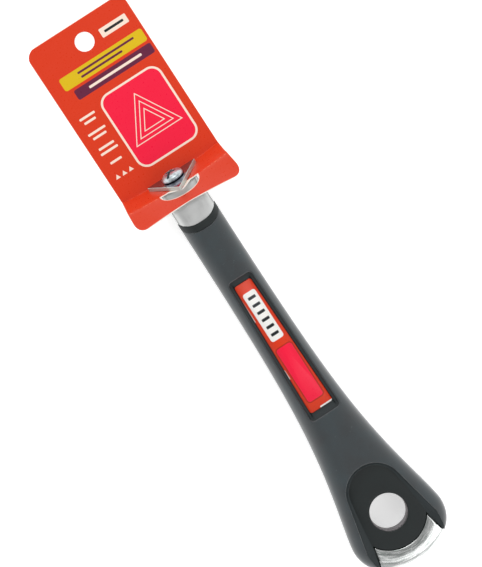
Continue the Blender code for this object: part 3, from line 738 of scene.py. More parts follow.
def on_seat(flat):
    """Turn points that were worked out on the seat, with Z along the screw, into their place."""
    x, y, z = flat[..., 0], flat[..., 1], flat[..., 2]
    sine, cosine = math.sin(BLADE_TILT), math.cos(BLADE_TILT)
    return seat_middle + joined(x, y * cosine + z * sine, z * cosine - y * sine)


tips = np.radians(np.array([30.0, 150.0, 270.0]))
tip_points = joined(np.cos(tips), np.sin(tips)) * BLADE_SIDE / math.sqrt(3)
side_turns = joined(tips + math.radians(210.0), tips + math.radians(150.0))
flats = tip_points[:, None] + BLADE_CORNER_FLAT * joined(np.cos(side_turns), np.sin(side_turns))
rim = even_steps(flats.reshape(-1, 2), BLADE_SPACING)
hole = unit(rim)
small = rim * (1.0 - BLADE_CHAMFER / (BLADE_SIDE / (2 * math.sqrt(3))))
low, high, step = BLADE_BACK, BLADE_BACK + BLADE_THICKNESS, BLADE_CHAMFER
hole_in, hole_out = hole * BLADE_HOLE_RADIUS, hole * (BLADE_HOLE_RADIUS + step)
layers = [(hole_in, low + step), (hole_in, high - step), (hole_out, high), (small, high),
          (rim, high - step), (rim, low + step), (small, low), (hole_out, low)]
blade_points = np.stack([joined(plan[:, 0], plan[:, 1], z) for plan, z in layers])
blade = surface("carbide_triangle", on_seat(blade_points), close_rows=True, sharp=20)
print("blade:", len(blade.data.polygons), "faces")

# %% [markdown]
# ## The screw
# A pan head with a crossed slot holds the blade. The head and shank are one profile swept round
# the axis, and the recess is cut by two wedges, narrower at the bottom as a driver's tip is. One
# of them is longer, and takes a flat driver too. It points where the photograph shows its end.

# %% Screw
SCREW_RADIUS, SCREW_LENGTH, SCREW_POINT, SCREW_COLUMNS = 0.0025, 0.010, 0.0006, 72
HEAD_RADIUS, HEAD_HEIGHT, HEAD_RIM, HEAD_FILLET = 0.0053, 0.0031, 0.0006, 0.00035
HEAD_POWER, HEAD_CLEARANCE = 0.85, 0.0003
SLOT_LENGTH, CROSS_LENGTH, SLOT_WIDTH, SLOT_TAPER = 0.0122, 0.006, 0.0018, 0.6
SLOT_DEPTH, CROSS_DEPTH, SLOT_ABOVE = 0.0022, 0.0025, 0.001
SLOT_TURN = math.radians(60.0)

seat_high = BLADE_BACK + BLADE_THICKNESS + HEAD_CLEARANCE
dome = np.radians(np.linspace(0.0, 90.0, 14))
corner = np.radians(np.linspace(-90.0, 0.0, 5))
head = np.concatenate([
    joined(HEAD_RADIUS - HEAD_FILLET * (1 - np.cos(corner)),
           seat_high + HEAD_FILLET * (1 + np.sin(corner))),
    joined(HEAD_RADIUS * np.cos(dome) ** HEAD_POWER,
           seat_high + HEAD_RIM + (HEAD_HEIGHT - HEAD_RIM) * np.sin(dome))])
shank = [(0.0, seat_high - SCREW_LENGTH), (SCREW_RADIUS - SCREW_POINT, seat_high - SCREW_LENGTH),
         (SCREW_RADIUS, seat_high - SCREW_LENGTH + SCREW_POINT), (SCREW_RADIUS, seat_high)]
screw = surface("pan_head_screw", on_seat(swept(np.concatenate([shank, head]), SCREW_COLUMNS)))
top = seat_high + HEAD_HEIGHT
sine, cosine = math.sin(SLOT_TURN), math.cos(SLOT_TURN)
cutters = []
for name, long, wide, depth in (("slot_long", SLOT_LENGTH, SLOT_WIDTH, SLOT_DEPTH),
                                ("slot_cross", SLOT_WIDTH, CROSS_LENGTH, CROSS_DEPTH)):
    corners = np.array([(-1, -1), (1, -1), (1, 1), (-1, 1)]) * (long / 2, wide / 2)
    corners = corners @ np.array([(cosine, sine), (-sine, cosine)])
    rings = [joined(*(scale * corners).T, z)
             for scale, z in ((SLOT_TAPER, top - depth), (1, top + SLOT_ABOVE))]
    cutters.append(surface(name, on_seat(capped(np.stack(rings)))))
cut(screw, *cutters)

# %% [markdown]
# ## The display card
# The card is one sheet of board, folded twice. Its wide part lies on the table, a short riser
# stands behind the blade, and a tab lies over the neck. The sheet is made flat, with its three
# holes cut, and then every point is carried onto the folded path. A tongue that was slit free
# of the tab stays in line with the riser and stands up behind the blade. Real card isn't flat:
# the riser's wings bow towards the blade, the far end curls up, and the tab is bowed and sits a
# little askew. The flat place of each point is kept as an attribute, because the print follows
# the sheet and not the space around it.

# %% Card, flat
CARD_WIDTH, CARD_THICKNESS = 0.052, 0.0005
CARD_FLAT, CARD_TAB, TAB_RISE = 0.0829, 0.0088, math.radians(10.0)
RISER_LENGTH, RISER_FOOT = 0.01729525, 0.01009694
CREASE_STATION = 0.20379478
TOP_CORNER, BOTTOM_CORNER = 0.0056, 0.005
HANG_RADIUS, HANG_EDGE = 0.0045, 0.0099
SMILE_HALF, SMILE_DEPTH, SMILE_POWER = 0.0096, 0.0044, 2.2
TONGUE_HALF, TONGUE_LENGTH, TONGUE_TIP = 0.0063, 0.0067, 0.0004
FOLD_REACH, FOLD_SPREAD, THROUGH = 0.0006, 1.1, 0.002
CARD_COLUMNS, FLAT_FROM, FLAT_TO, RISER_MARGIN, TAB_MARGIN = 27, -0.078, -0.003, 0.002, 0.0015
CARD_END = RISER_LENGTH + CARD_TAB

corner_steps = 1 - np.cos(np.radians(np.linspace(0.0, 90.0, 9)))
folds = np.array([0.0, RISER_LENGTH])[:, None] + np.linspace(-1.0, 1.0, 9) * FOLD_REACH * FOLD_SPREAD
run = np.unique(np.round(np.concatenate([
    -CARD_FLAT + TOP_CORNER * corner_steps, np.linspace(FLAT_FROM, FLAT_TO, 26), folds.ravel(),
    np.linspace(RISER_MARGIN, RISER_LENGTH - RISER_MARGIN, 8),
    np.linspace(RISER_LENGTH + TAB_MARGIN, CARD_END - BOTTOM_CORNER, 4),
    CARD_END - BOTTOM_CORNER * corner_steps]), 7))


def corner_loss(distance, radius):
    """How far a quarter circle of a radius draws in the side, at a distance from the sheet's end."""
    return radius - np.sqrt(radius ** 2 - np.clip(radius - distance, 0.0, radius) ** 2)


drawn_in = corner_loss(run + CARD_FLAT, TOP_CORNER) + corner_loss(CARD_END - run, BOTTOM_CORNER)
across = np.linspace(-1.0, 1.0, CARD_COLUMNS)
loop_x = np.concatenate([across, across[::-1]]) * (CARD_WIDTH / 2 - drawn_in)[:, None]
loop_z = np.repeat([1.0, -1.0], CARD_COLUMNS) * CARD_THICKNESS / 2
card = surface("card_sheet", capped(joined(loop_x, run[:, None], loop_z)))

smile_x = -np.cos(np.linspace(0.0, np.pi, 49)) * SMILE_HALF
smile_line = np.maximum(1 - np.abs(smile_x / SMILE_HALF) ** SMILE_POWER, 0.0) ** (1 / SMILE_POWER)
start = RISER_LENGTH + HALF_LENGTH
smile_loops = upright_loops(joined(smile_x, start), joined(smile_x, SMILE_DEPTH * smile_line + start),
                            -THROUGH, THROUGH)
bore = np.array([(0.0, -THROUGH), (1.0, -THROUGH), (1.0, THROUGH), (0.0, THROUGH)])
cutters = [surface("smile_cutter", smile_loops)]
for name, radius, columns, place in (("hang_cutter", HANG_RADIUS, 64, HANG_EDGE - CARD_FLAT),
                                     ("screw_cutter", BLADE_HOLE_RADIUS, 48, RISER_FOOT)):
    cutters.append(surface(name, swept(bore * (radius, 1.0), columns, (0.0, place))))
cut(card, *cutters)

half_loop = np.linspace(TONGUE_HALF, TONGUE_TIP, 12)
side_x = np.concatenate([half_loop, -half_loop[::-1]])
side_run = (TONGUE_LENGTH + FOLD_REACH) * (TONGUE_HALF - np.abs(side_x)) / TONGUE_HALF
side_run = RISER_LENGTH - FOLD_REACH + side_run
tongue_rings = [joined(side_x, side_run, z) for z in (-CARD_THICKNESS / 2, CARD_THICKNESS / 2)]
tongue = surface("card_tongue", capped(np.stack(tongue_rings)))

# %% Card, folded
WING_BOW, WING_POWER, BOW_FROM, BOW_FULL = 0.0019, 1.6, -0.004, 0.001
TAB_SKEW, TAB_SHIFT, TAB_SPREAD = 0.0009, 0.0007, 0.042
TAB_BOW, TAB_BOW_MIDDLE, TAB_START = 0.0016, 0.4, 0.8
TOP_CURL, TOP_SHIFT, TOP_SPREAD = 0.0015, 0.0006, 0.011
SHEET_SHARP, FRONT, EDGE, BACK = 50, 0, 1, 2

crease = np.array([CREASE_STATION - HALF_LENGTH, CARD_THICKNESS / 2])
directions = np.array([(-1.0, 0.0), (-math.cos(BLADE_TILT), math.sin(BLADE_TILT)),
                       (-math.cos(TAB_RISE), math.sin(TAB_RISE))])
bends = np.array([crease, crease + directions[1] * RISER_LENGTH])


def folded(run, is_tongue):
    """Centre line and printed-side normal in (Y, Z): straight runs joined by quadratic curves."""
    leg = np.where(run < 0.0, 0, np.where((run < RISER_LENGTH) | is_tongue, 1, 2))
    start = np.array([0.0, 0.0, RISER_LENGTH])[leg]
    line = bends[np.maximum(leg - 1, 0)] + directions[leg] * (run - start)[:, None]
    heading = directions[leg]
    for k, place in enumerate((0.0, RISER_LENGTH)):
        near = ((np.abs(run - place) < FOLD_REACH) & ~(is_tongue & (k == 1)))[:, None]
        t = ((run - place + FOLD_REACH) / (2 * FOLD_REACH))[:, None]
        before, after = bends[k] - directions[k] * FOLD_REACH, bends[k] + directions[k + 1] * FOLD_REACH
        along_curve = (1 - t) * (bends[k] - before) + t * (after - bends[k])
        line = np.where(near, quadratic(t, before, bends[k], after), line)
        heading = np.where(near, along_curve, heading)
    heading = unit(heading)
    return line, joined(heading[:, 1], -heading[:, 0])


def ramp(value, start, stop):
    """A smooth step from 0 to 1 between two values."""
    t = np.clip((value - start) / (stop - start), 0.0, 1.0)
    return t * t * (3 - 2 * t)


def fold_sheet(piece, is_tongue=False):
    """Carry a flat piece onto the folded path, keep its flat place, and tell front, edge and back."""
    sheet = piece.data
    place = np.empty(3 * len(sheet.vertices))
    sheet.vertices.foreach_get("co", place)
    x, run, lift = place.reshape(-1, 3).T
    for key, values in (("flat_x", 1000 * x), ("flat_run", 1000 * run)):
        layer = sheet.attributes.new(key, "FLOAT", "POINT")
        layer.data.foreach_set("value", values.astype(np.float32))
    line, facing = folded(run, np.full(len(run), is_tongue))
    y, z = (line + facing * lift[:, None]).T
    wing = (np.abs(x) / (CARD_WIDTH / 2)) ** WING_POWER
    tab = ramp(run, TAB_START * RISER_LENGTH, CARD_END)
    top = np.clip(-run / CARD_FLAT, 0.0, 1.0)
    y = y + WING_BOW * wing * ramp(run, BOW_FROM, BOW_FULL) * (1 - tab)
    y = y - tab * (TAB_SKEW * x / (CARD_WIDTH / 2) + TAB_BOW * (wing - TAB_BOW_MIDDLE))
    z = z + TOP_CURL * top ** 3
    x = x * (1 + TOP_SPREAD * top) - TOP_SHIFT * top + (TAB_SHIFT + TAB_SPREAD * x) * tab
    tilt = np.array([face.normal.z for face in sheet.polygons])
    sheet.vertices.foreach_set("co", np.column_stack([x, y, z]).ravel())
    sheet.update()
    sheet.set_sharp_from_angle(angle=math.radians(SHEET_SHARP))
    print(piece.name, len(sheet.polygons), "faces, highest point", round(1000 * z.max(), 2), "mm")
    return np.where(np.abs(tilt) < 0.5, EDGE, np.where(tilt < 0.0, BACK, FRONT))


card_sides, tongue_sides = fold_sheet(card), fold_sheet(tongue, True)

# %% [markdown]
# ## Materials: moulded rubber and plastic
# The grip is thermoplastic rubber from a spark-eroded mould: grey, matt, with a fine even grain,
# faint cloudy marks and a few pale scuffs. A sheen makes its flanks paler than its middle. The
# hard handle is black polypropylene, a little glossier. Its sloping fillets keep the rougher skin
# of the mould, and their paler tint is painted light. Grain finer than a pixel can't show, so it
# is drawn a little coarser than the real one.

# %% Rubber and plastic
GRAIN_MM, CLOUD_MM, SPECK_MM = 0.35, 11.0, 1.6
CLOUD_RANGE = {"From Min": 0.3, "From Max": 0.7}


def per_metre(size_mm):
    """The scale of a noise whose marks have about a size, in coordinates that are in metres."""
    return 1000.0 / size_mm


def moulded(name, dark, pale, roughness, spread, grain_depth, scuff=None, **values):
    """A moulded polymer: cloudy colour between two hex values, even grain, uneven gloss, scuffs."""
    made, tree, shader = new_material(name, **values)
    where = add_node(tree, "TexCoord").outputs["Object"]
    clouds = add_node(tree, "TexNoise", {"Vector": where, "Scale": per_metre(CLOUD_MM), "Detail": 3.0,
                                         "Roughness": 0.6})
    grain = add_node(tree, "TexNoise", {"Vector": where, "Scale": per_metre(GRAIN_MM), "Detail": 1.0})
    share = add_node(tree, "Mix", {0: 0.25, 2: clouds, 3: grain})
    share = add_node(tree, "MapRange", {"Value": share, **CLOUD_RANGE})
    colour = add_node(tree, "Mix", {0: share, 6: linear(dark), 7: linear(pale)}, data_type="RGBA")
    if scuff:
        specks = add_node(tree, "TexNoise", {"Vector": where, "Scale": per_metre(SPECK_MM),
                                             "Detail": 3.0, "Roughness": 0.7})
        rare = add_node(tree, "MapRange", {"Value": specks, "From Min": 0.68, "From Max": 0.76})
        colour = add_node(tree, "Mix", {0: rare, 6: colour, 7: linear(scuff)}, data_type="RGBA")
    gloss = add_node(tree, "MapRange", {"Value": clouds, **CLOUD_RANGE, "To Min": roughness - spread,
                                        "To Max": roughness + spread})
    relief = add_node(tree, "Bump", {"Height": grain, "Strength": 0.35, "Distance": grain_depth})
    feed(tree, shader, {"Base Color": colour, "Roughness": gloss, "Normal": relief})
    return made


# Dark and pale tone, roughness and its spread, the depth of the grain in metres, scuffs.
rubber = moulded("moulded_thermoplastic_rubber", "030E14", "16292F", 0.58, 0.07, 0.00006, "4A5254",
                 Sheen_Weight=0.8, Sheen_Roughness=0.5, IOR=1.6)
plastic = moulded("moulded_polypropylene", "0B1314", "141D1D", 0.5, 0.06, 0.00003, IOR=1.45)
# The fillets' paler tint is painted light; their rougher grain is the mould's skin.
textured_plastic_painted_light = moulded("textured_polypropylene_painted_light", "182022", "232B2D", 0.6, 0.06, 0.00006, IOR=1.45)

# %% [markdown]
# ## Materials: zinc, carbide and plating
# The casting is zinc alloy with a satin skin and faint lines along the neck. The neck's flanks
# are painted darker below a height, as painted shade. It is dull in the bore, where its darker
# tint is painted shade, and polished at the strike end in streaks that follow its arc. The
# blade's faces are lapped to a mirror and its edges are ground, so they scatter. The screw is
# plated with bright zinc; its recess is rougher, and its darker tint there is painted shade. All
# are metals and keep the default index of refraction.

# %% Metals
EVEN, ALONG_NECK, ROUND_ARC, ALONG_EDGE = (1, 1, 1), (1, 0.06, 1), (1, 0.12, 1), (1, 0.2, 1)
BLOTCH_MM = 6.0
STREAK_LOW, STREAK_HIGH, DARK_HIGH = 0.35, 0.65, 0.6
# Between these heights the painted shade on the neck's sides fades out.
FLANK_SHADE_LOW, FLANK_SHADE_HIGH = AXIS_Z + 0.0030, AXIS_Z + 0.0053


def around_point(tree, where, centre):
    """Polar coordinates about a place in plan, in metres, for streaks that follow an arc."""
    local = add_node(tree, "VectorMath", {0: where, 1: (*centre, 0.0)}, operation="SUBTRACT")
    flat = add_node(tree, "VectorMath", {0: local, 1: (1.0, 1.0, 0.0)}, operation="MULTIPLY")
    reach = add_node(tree, "VectorMath", {0: flat}, operation="LENGTH")
    part = add_node(tree, "SeparateXYZ", {0: local})
    angle = add_node(tree, "Math", {0: part.outputs["X"], 1: part.outputs["Y"]}, operation="ARCTAN2")
    arc = add_node(tree, "Math", {0: angle, 1: STRIKE_INNER_RADIUS}, operation="MULTIPLY")
    return add_node(tree, "CombineXYZ", {0: reach, 1: arc})


def cast_metal(name, tint, roughness, spread, streak_mm, depth, stretch=EVEN, dark=None, centre=None,
               flank_shade=None):
    """A metal whose tone and gloss vary in streaks: noise stretched along one axis or round a centre.

    Dark is the tone of its streaks. The flank tone is painted shade on the sides, below a height.
    """
    made, tree, shader = new_material(name, Metallic=1.0, Base_Color=linear(tint))
    where = add_node(tree, "TexCoord").outputs["Object"]
    if centre:
        where = around_point(tree, where, centre)
    drawn_out = add_node(tree, "Mapping", {"Vector": where, "Scale": stretch})
    streaks = add_node(tree, "TexNoise", {"Vector": drawn_out, "Scale": per_metre(streak_mm),
                                          "Detail": 4.0, "Roughness": 0.65})
    blotches = add_node(tree, "TexNoise", {"Vector": where, "Scale": per_metre(BLOTCH_MM), "Detail": 2.0})
    shade = add_node(tree, "Mix", {0: 0.5, 2: streaks, 3: blotches})
    gloss = add_node(tree, "MapRange", {"Value": shade, "From Min": STREAK_LOW, "From Max": STREAK_HIGH,
                                        "To Min": roughness - spread, "To Max": roughness + spread})
    relief = add_node(tree, "Bump", {"Height": streaks, "Strength": 0.4, "Distance": depth})
    feed(tree, shader, {"Roughness": gloss, "Normal": relief})
    if dark:
        source, low, high = streaks, STREAK_LOW, DARK_HIGH
    # The flank tone is painted shade: the sides are darker below a height.
    if flank_shade:
        source, low, high = add_node(tree, "SeparateXYZ", {0: where}).outputs["Z"], FLANK_SHADE_LOW, FLANK_SHADE_HIGH
    if dark or flank_shade:
        share = add_node(tree, "MapRange", {"Value": source, "From Min": low, "From Max": high})
        tones = {6: linear(dark or flank_shade), 7: linear(tint)}
        tone = add_node(tree, "Mix", {0: share, **tones}, data_type="RGBA")
        feed(tree, shader, {"Base Color": tone})
    return made


# Tint, roughness and its spread, the streaks' width in millimetres and their depth in metres.
strike_centre = (0.0, STRIKE_STATION - HALF_LENGTH)
# The neck's zinc gets painted shade on its flanks, darker below a height.
satin_zinc = cast_metal("die_cast_zinc_alloy", "DADBDA", 0.4, 0.07, 0.6, 0.00002, ALONG_NECK,
                        flank_shade="7C7D7C")
bright_zinc = cast_metal("polished_zinc_alloy", "F4F6F5", 0.13, 0.04, 0.9, 0.00001, ROUND_ARC, "A9B0AD",
                         strike_centre)
# The bore's darker tint is painted shade in the hang hole; its streaks vary at random.
bore_zinc_painted_shade = cast_metal("dull_zinc_alloy_painted_shade", "8E898C", 0.45, 0.1, 1.2, 0.00004, dark="5C585B")
lapped_carbide = cast_metal("lapped_tungsten_carbide", "8A8893", 0.1, 0.03, 1.5, 0.000004)
ground_carbide = cast_metal("ground_tungsten_carbide", "BFCFCB", 0.5, 0.06, 0.25, 0.00002, ALONG_EDGE)
plating = cast_metal("bright_zinc_plating", "CDD5D9", 0.34, 0.06, 1.2, 0.00002, dark="98A3A8")
# The recess is rougher, and its darker tint is painted shade.
recess_plating_painted_shade = cast_metal("dull_recess_painted_shade", "8A9298", 0.55, 0.06, 0.8, 0.00002)

# %% [markdown]
# ## Materials: the printed card and label
# Both are varnished paper, printed in flat inks: red with cream, mustard, plum and pink. The
# print here is a plain design of bands, a panel, bars and nested triangles. Each shape is a
# distance worked out from the sheet's own flat coordinates in millimetres, and an ink is laid
# where the distance is below zero. The cut edges show the white core of the board, and white
# fibre shows where the ink has rubbed off at the edges and cracked along the folds.

# %% Print helpers
RED, WARM_RED, CREAM, MUSTARD, PLUM, PINK = "DC360E", "E03C1A", "FCE6D4", "E0BC10", "66203F", "F91740"
INK, WHITE, DEEP_RED, FIBRE, CRACK = "1E2326", "F4F2EE", "B02A14", "FFE2D2", "F08A6A"
FIBRE_MM = 0.8
FIBRES_PER_MM, WAVES_PER_MM, BREAKS_PER_MM = 1.2, 0.12, 0.8
FEATHER, CRACK_FEATHER = 0.06, 0.12
EDGE_WEAR, SMILE_WEAR, SMILE_START, CARD_ROUND = 0.2, 0.4, 0.3, 4.6
FOLD_HALF, FOLD_ROUND, BREAK_SLOPE, BREAK_LEVEL = (25.0, 0.06), 0.05, -2.0, 1.12


def rounded_box(tree, plan, centre, half, corner):
    """Distance to a rounded box: the length past its inner corners, less the corner radius."""
    local = add_node(tree, "VectorMath", {0: plan, 1: (*centre, 0.0)}, operation="SUBTRACT")
    size = add_node(tree, "VectorMath", {0: local}, operation="ABSOLUTE")
    inner = (half[0] - corner, half[1] - corner, 1.0)
    past = add_node(tree, "VectorMath", {0: size, 1: inner}, operation="SUBTRACT")
    past = add_node(tree, "VectorMath", {0: past, 1: (0.0, 0.0, 0.0)}, operation="MAXIMUM")
    reach = add_node(tree, "VectorMath", {0: past}, operation="LENGTH")
    return add_node(tree, "Math", {0: reach, 1: corner}, operation="SUBTRACT")


def triangle(tree, plan, centre, inradius):
    """Distance to a triangle that points along +Y: the largest of three side distances."""
    local = add_node(tree, "VectorMath", {0: plan, 1: (*centre, 0.0)}, operation="SUBTRACT")
    slant = math.cos(math.pi / 6)
    first, second, third = (add_node(tree, "VectorMath", {0: local, 1: side}, operation="DOT_PRODUCT")
                            for side in ((0.0, -1.0, 0.0), (slant, 0.5, 0.0), (-slant, 0.5, 0.0)))
    most = add_node(tree, "Math", {0: first, 1: second}, operation="MAXIMUM")
    most = add_node(tree, "Math", {0: most, 1: third}, operation="MAXIMUM")
    return add_node(tree, "Math", {0: most, 1: inradius}, operation="SUBTRACT")


def outline_of(tree, distance, half_wide):
    """Turn a distance into that of its outline: its size, less half the line's width."""
    size = add_node(tree, "Math", {0: distance}, operation="ABSOLUTE")
    return add_node(tree, "Math", {0: size, 1: half_wide}, operation="SUBTRACT")


def lay_ink(tree, under, colour, distance, feather=FEATHER):
    """Lay a colour over another where a distance in millimetres is below zero."""
    share = add_node(tree, "MapRange", {"Value": distance, "From Min": -feather, "From Max": feather,
                                        "To Min": 1.0, "To Max": 0.0})
    return add_node(tree, "Mix", {0: share, 6: under, 7: linear(colour)}, data_type="RGBA")


def lay_boxes(tree, plan, under, boxes):
    """Lay inks in rounded boxes, each given as its ink, centre, half size and corner radius."""
    for ink, *box in boxes:
        under = lay_ink(tree, under, ink, rounded_box(tree, plan, *box))
    return under


def varnished(name, flat_plan, design):
    """Varnished print: inks laid by a design, with fibres in the gloss and faint waviness."""
    made, tree, shader = new_material(name, IOR=1.38)
    plan = flat_plan(tree)
    fibres = add_node(tree, "TexNoise", {"Vector": plan, "Scale": FIBRES_PER_MM, "Detail": 3.0})
    base = add_node(tree, "Mix", {0: fibres, 6: linear(RED), 7: linear(WARM_RED)}, data_type="RGBA")
    colour = design(tree, plan, base)
    gloss = add_node(tree, "MapRange", {"Value": fibres, "To Min": 0.24, "To Max": 0.34})
    waves = add_node(tree, "TexNoise", {"Vector": plan, "Scale": WAVES_PER_MM, "Detail": 1.0})
    relief = add_node(tree, "Bump", {"Height": waves, "Strength": 0.3, "Distance": 0.0004})
    feed(tree, shader, {"Base Color": colour, "Roughness": gloss, "Normal": relief})
    return made


# %% Card print and label print
# A box is a centre, a half size and a corner radius, in millimetres on the sheet. The card's
# print is measured up from its first fold, the label's from the middle of tool and card.
CARD_BOXES = [(MUSTARD, (2.5, 61.5), (22.0, 3.2), 1.2), (PLUM, (4.0, 54.4), (20.5, 2.5), 1.0),
              (PLUM, (4.5, 62.6), (15.0, 0.5), 0.4), (PLUM, (1.0, 60.3), (11.0, 0.5), 0.4),
              (CREAM, (4.5, 54.4), (14.0, 0.6), 0.4), (CREAM, (15.0, 72.0), (7.0, 2.2), 0.5),
              (INK, (15.0, 72.0), (5.0, 0.6), 0.4)]
BAR_COLUMN = ((44.0, 4.0), (41.5, 3.0), (36.0, 4.5), (33.5, 3.5), (28.0, 4.0), (25.5, 4.5), (20.0, 3.0))
CARD_BOXES += [(CREAM, (-17.5, up), (half, 0.55), 0.4) for up, half in BAR_COLUMN]
CARD_PANEL, PANEL_LINE = ((6.0, 28.5), (15.5, 19.0), 5.0), 0.5
MOTIF_CENTRE, MOTIF_SIZES, MOTIF_LINE = (6.0, 27.0), (3.0, 5.0, 7.0), 0.2
MARK_CENTRES, MARK_SIZE = ((-21.0, 13.0), (-17.5, 13.0), (-14.0, 13.0)), 0.7
LABEL_BAR_START, LABEL_BAR_PITCH = -24.5, 3.8
LABEL_PANEL, LABEL_PANEL_LINE = ((0.4, -45.0), (4.2, 14.0), 1.6), 0.25
LABEL_BOXES = [(WHITE, (0.4, -15.0), (3.2, 12.5), 1.2)]
LABEL_BOXES += [(INK, (0.5, LABEL_BAR_START + LABEL_BAR_PITCH * k), (1.9, 0.7), 0.3) for k in range(6)]
LABEL_BARE = [(WHITE, (-4.5, -10.0), (0.45, 5.8), 0.2), (WHITE, (-5.3, -43.0), (0.55, 2.4), 0.2),
              (WHITE, (3.2, -63.1), (3.4, 0.6), 0.2)]


def card_plan(tree):
    """The card's flat coordinates in millimetres: across, and up from the first fold."""
    across = add_node(tree, "Attribute", attribute_name="flat_x")
    run = add_node(tree, "Attribute", attribute_name="flat_run")
    up = add_node(tree, "Math", {0: run.outputs["Fac"], 1: -1.0}, operation="MULTIPLY")
    return add_node(tree, "CombineXYZ", {0: across.outputs["Fac"], 1: up})


def worn_edges(tree, plan, colour):
    """White fibre shows along the cut edges and the smile, and in dashes along the two folds."""
    middle, half = 500 * (CARD_FLAT - CARD_END), 500 * (CARD_FLAT + CARD_END)
    outer = rounded_box(tree, plan, (0.0, middle), (500 * CARD_WIDTH, half), CARD_ROUND)
    rim = add_node(tree, "Math", {0: outer, 1: -1.0, 2: -EDGE_WEAR}, operation="MULTIPLY_ADD")
    colour = lay_ink(tree, colour, FIBRE, rim)
    local = add_node(tree, "VectorMath", {0: plan, 1: (0.0, 1000 * RISER_LENGTH, 0.0)}, operation="ADD")
    halves = (1000 * SMILE_HALF + SMILE_WEAR, 1000 * SMILE_DEPTH + SMILE_WEAR, 1.0)
    scaled = add_node(tree, "VectorMath", {0: local, 1: halves}, operation="DIVIDE")
    size = add_node(tree, "VectorMath", {0: scaled}, operation="LENGTH")
    near = add_node(tree, "Math", {0: size, 1: halves[1], 2: -halves[1]}, operation="MULTIPLY_ADD")
    parts = add_node(tree, "SeparateXYZ", {0: local})
    below = add_node(tree, "Math", {0: parts.outputs["Y"], 1: SMILE_START}, operation="SUBTRACT")
    smile = add_node(tree, "Math", {0: near, 1: below}, operation="MAXIMUM")
    colour = lay_ink(tree, colour, FIBRE, smile)
    breaks = add_node(tree, "TexNoise", {"Vector": plan, "Scale": BREAKS_PER_MM, "Detail": 2.0})
    broken = add_node(tree, "Math", {0: breaks, 1: BREAK_SLOPE, 2: BREAK_LEVEL}, operation="MULTIPLY_ADD")
    for fold in (0.0, 1000 * RISER_LENGTH):
        line = rounded_box(tree, plan, (0.0, -fold), FOLD_HALF, FOLD_ROUND)
        crack = add_node(tree, "Math", {0: line, 1: broken}, operation="MAXIMUM")
        colour = lay_ink(tree, colour, CRACK, crack, CRACK_FEATHER)
    return colour


def card_design(tree, plan, colour):
    """Bands across the top, a pink panel with nested triangles, and a column of bars."""
    colour = lay_boxes(tree, plan, colour, CARD_BOXES)
    panel = rounded_box(tree, plan, *CARD_PANEL)
    colour = lay_ink(tree, colour, PINK, panel)
    colour = lay_ink(tree, colour, CREAM, outline_of(tree, panel, PANEL_LINE))
    for inradius in MOTIF_SIZES:
        shape = triangle(tree, plan, MOTIF_CENTRE, inradius)
        colour = lay_ink(tree, colour, CREAM, outline_of(tree, shape, MOTIF_LINE))
    for centre in MARK_CENTRES:
        colour = lay_ink(tree, colour, CREAM, triangle(tree, plan, centre, MARK_SIZE))
    return worn_edges(tree, plan, colour)


def label_plan(tree):
    """The label's coordinates in millimetres: across, and along towards the blade."""
    where = add_node(tree, "TexCoord").outputs["Object"]
    return add_node(tree, "VectorMath", {0: where, 1: (1000.0, 1000.0, 0.0)}, operation="MULTIPLY")


def label_design(tree, plan, colour):
    """A white panel with bars, a pink panel in a darker line, and bare paper at three edges."""
    colour = lay_boxes(tree, plan, colour, LABEL_BOXES)
    panel = rounded_box(tree, plan, *LABEL_PANEL)
    colour = lay_ink(tree, colour, PINK, panel)
    colour = lay_ink(tree, colour, DEEP_RED, outline_of(tree, panel, LABEL_PANEL_LINE))
    return lay_boxes(tree, plan, colour, LABEL_BARE)


def fibrous(name, dark, pale):
    """Bare board: warm white with fibres."""
    made, tree, shader = new_material(name, Roughness=0.85)
    where = add_node(tree, "TexCoord").outputs["Object"]
    fibres = add_node(tree, "TexNoise", {"Vector": where, "Scale": per_metre(FIBRE_MM), "Detail": 4.0})
    colour = add_node(tree, "Mix", {0: fibres, 6: linear(dark), 7: linear(pale)}, data_type="RGBA")
    feed(tree, shader, {"Base Color": colour})
    return made


printed_card = varnished("printed_folding_board", card_plan, card_design)
printed_label = varnished("varnished_label_paper", label_plan, label_design)
board_core = fibrous("white_board_core", "E9E4DC", "FAF7F2")
board_back = fibrous("grey_board_back", "D9D5CE", "ECE8E2")
print(len(bpy.data.materials), "materials")
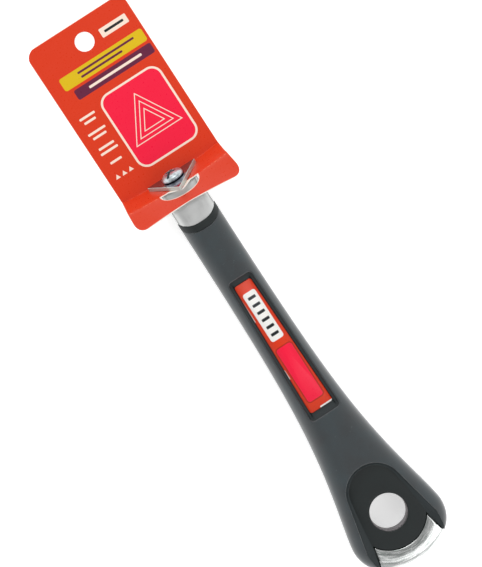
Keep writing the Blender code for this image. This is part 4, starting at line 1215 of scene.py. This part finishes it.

# %% [markdown]
# ## Put the pieces together
# Each piece rides on the body that carries it in the CAD model and stands for the CAD node that
# it replaces. The blade can turn a little about its screw, and the screw turns freely. The
# blade's edges, the screw's recess and the card's edge and back get their second materials.

# %% Bodies and materials
def finish_piece(piece, body, node_name, slot_name, *materials):
    """Say which body the piece rides on, which CAD node it stands for, and what it is made of."""
    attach(piece, body)
    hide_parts(node_name)
    for made in materials:
        piece.data.materials.append(made)


finish_piece(grip, "handle", "soft_grip", "soft_grip", rubber)
finish_piece(hard_body, "handle", "handle_body", "hard_plastic", plastic)
# The window frame and the arch walls take the plastic whose paler tint is painted light.
for piece in (window_frame, wall_above, wall_below):
    finish_piece(piece, "handle", "handle_body", "hard_plastic", textured_plastic_painted_light)
finish_piece(neck, "handle", "metal_core", "zinc_casting", satin_zinc)
finish_piece(strike, "handle", "metal_core", "zinc_casting", bright_zinc)
finish_piece(hole_ring, "handle", "metal_core", "zinc_casting", bore_zinc_painted_shade)
finish_piece(label, "handle", "handle_label", "label_paper", printed_label)
finish_piece(blade, "blade", "carbide_blade", "carbide", lapped_carbide, ground_carbide)
finish_piece(screw, "screw", "blade_screw", "plated_steel", plating, recess_plating_painted_shade)
for piece in (card, tongue):
    finish_piece(piece, "handle", "header_card", "card", printed_card, board_core, board_back)

RECESS_LIP, FACE_TURN = 0.0002, 0.9
seat_normal = Vector((0.0, math.sin(BLADE_TILT), math.cos(BLADE_TILT)))
is_edge = [abs(face.normal.dot(seat_normal)) < FACE_TURN for face in blade.data.polygons]
# Faces in the screw's recess take its second material, whose darker tint is painted shade.
from_seat = [Vector(face.center) - Vector(seat_middle) for face in screw.data.polygons]
rises = np.array([place.dot(seat_normal) for place in from_seat])
reaches = np.array([(place - place.dot(seat_normal) * seat_normal).length for place in from_seat])
head_share = np.clip(1 - (reaches / HEAD_RADIUS) ** (2 / HEAD_POWER), 0, 1)
dome_rise = seat_high + HEAD_RIM + (HEAD_HEIGHT - HEAD_RIM) * np.sqrt(head_share)
in_recess = (rises > seat_high + HEAD_RIM / 2) & (rises < dome_rise - RECESS_LIP)
in_recess &= reaches < HEAD_RADIUS - HEAD_RIM
for piece, kinds in ((blade, is_edge), (screw, in_recess), (card, card_sides), (tongue, tongue_sides)):
    piece.data.polygons.foreach_set("material_index", kinds)

# %% [markdown]
# ## Sizes
# The dressed pieces should fill about the same box as the CAD model. Their box is printed in
# millimetres. Both boxes are written down, so that
# they can be compared after each change.

# %% Sizes and finish
low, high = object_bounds()
print("visual box in mm:", [round(1000 * v, 1) for v in (*low, *high)])
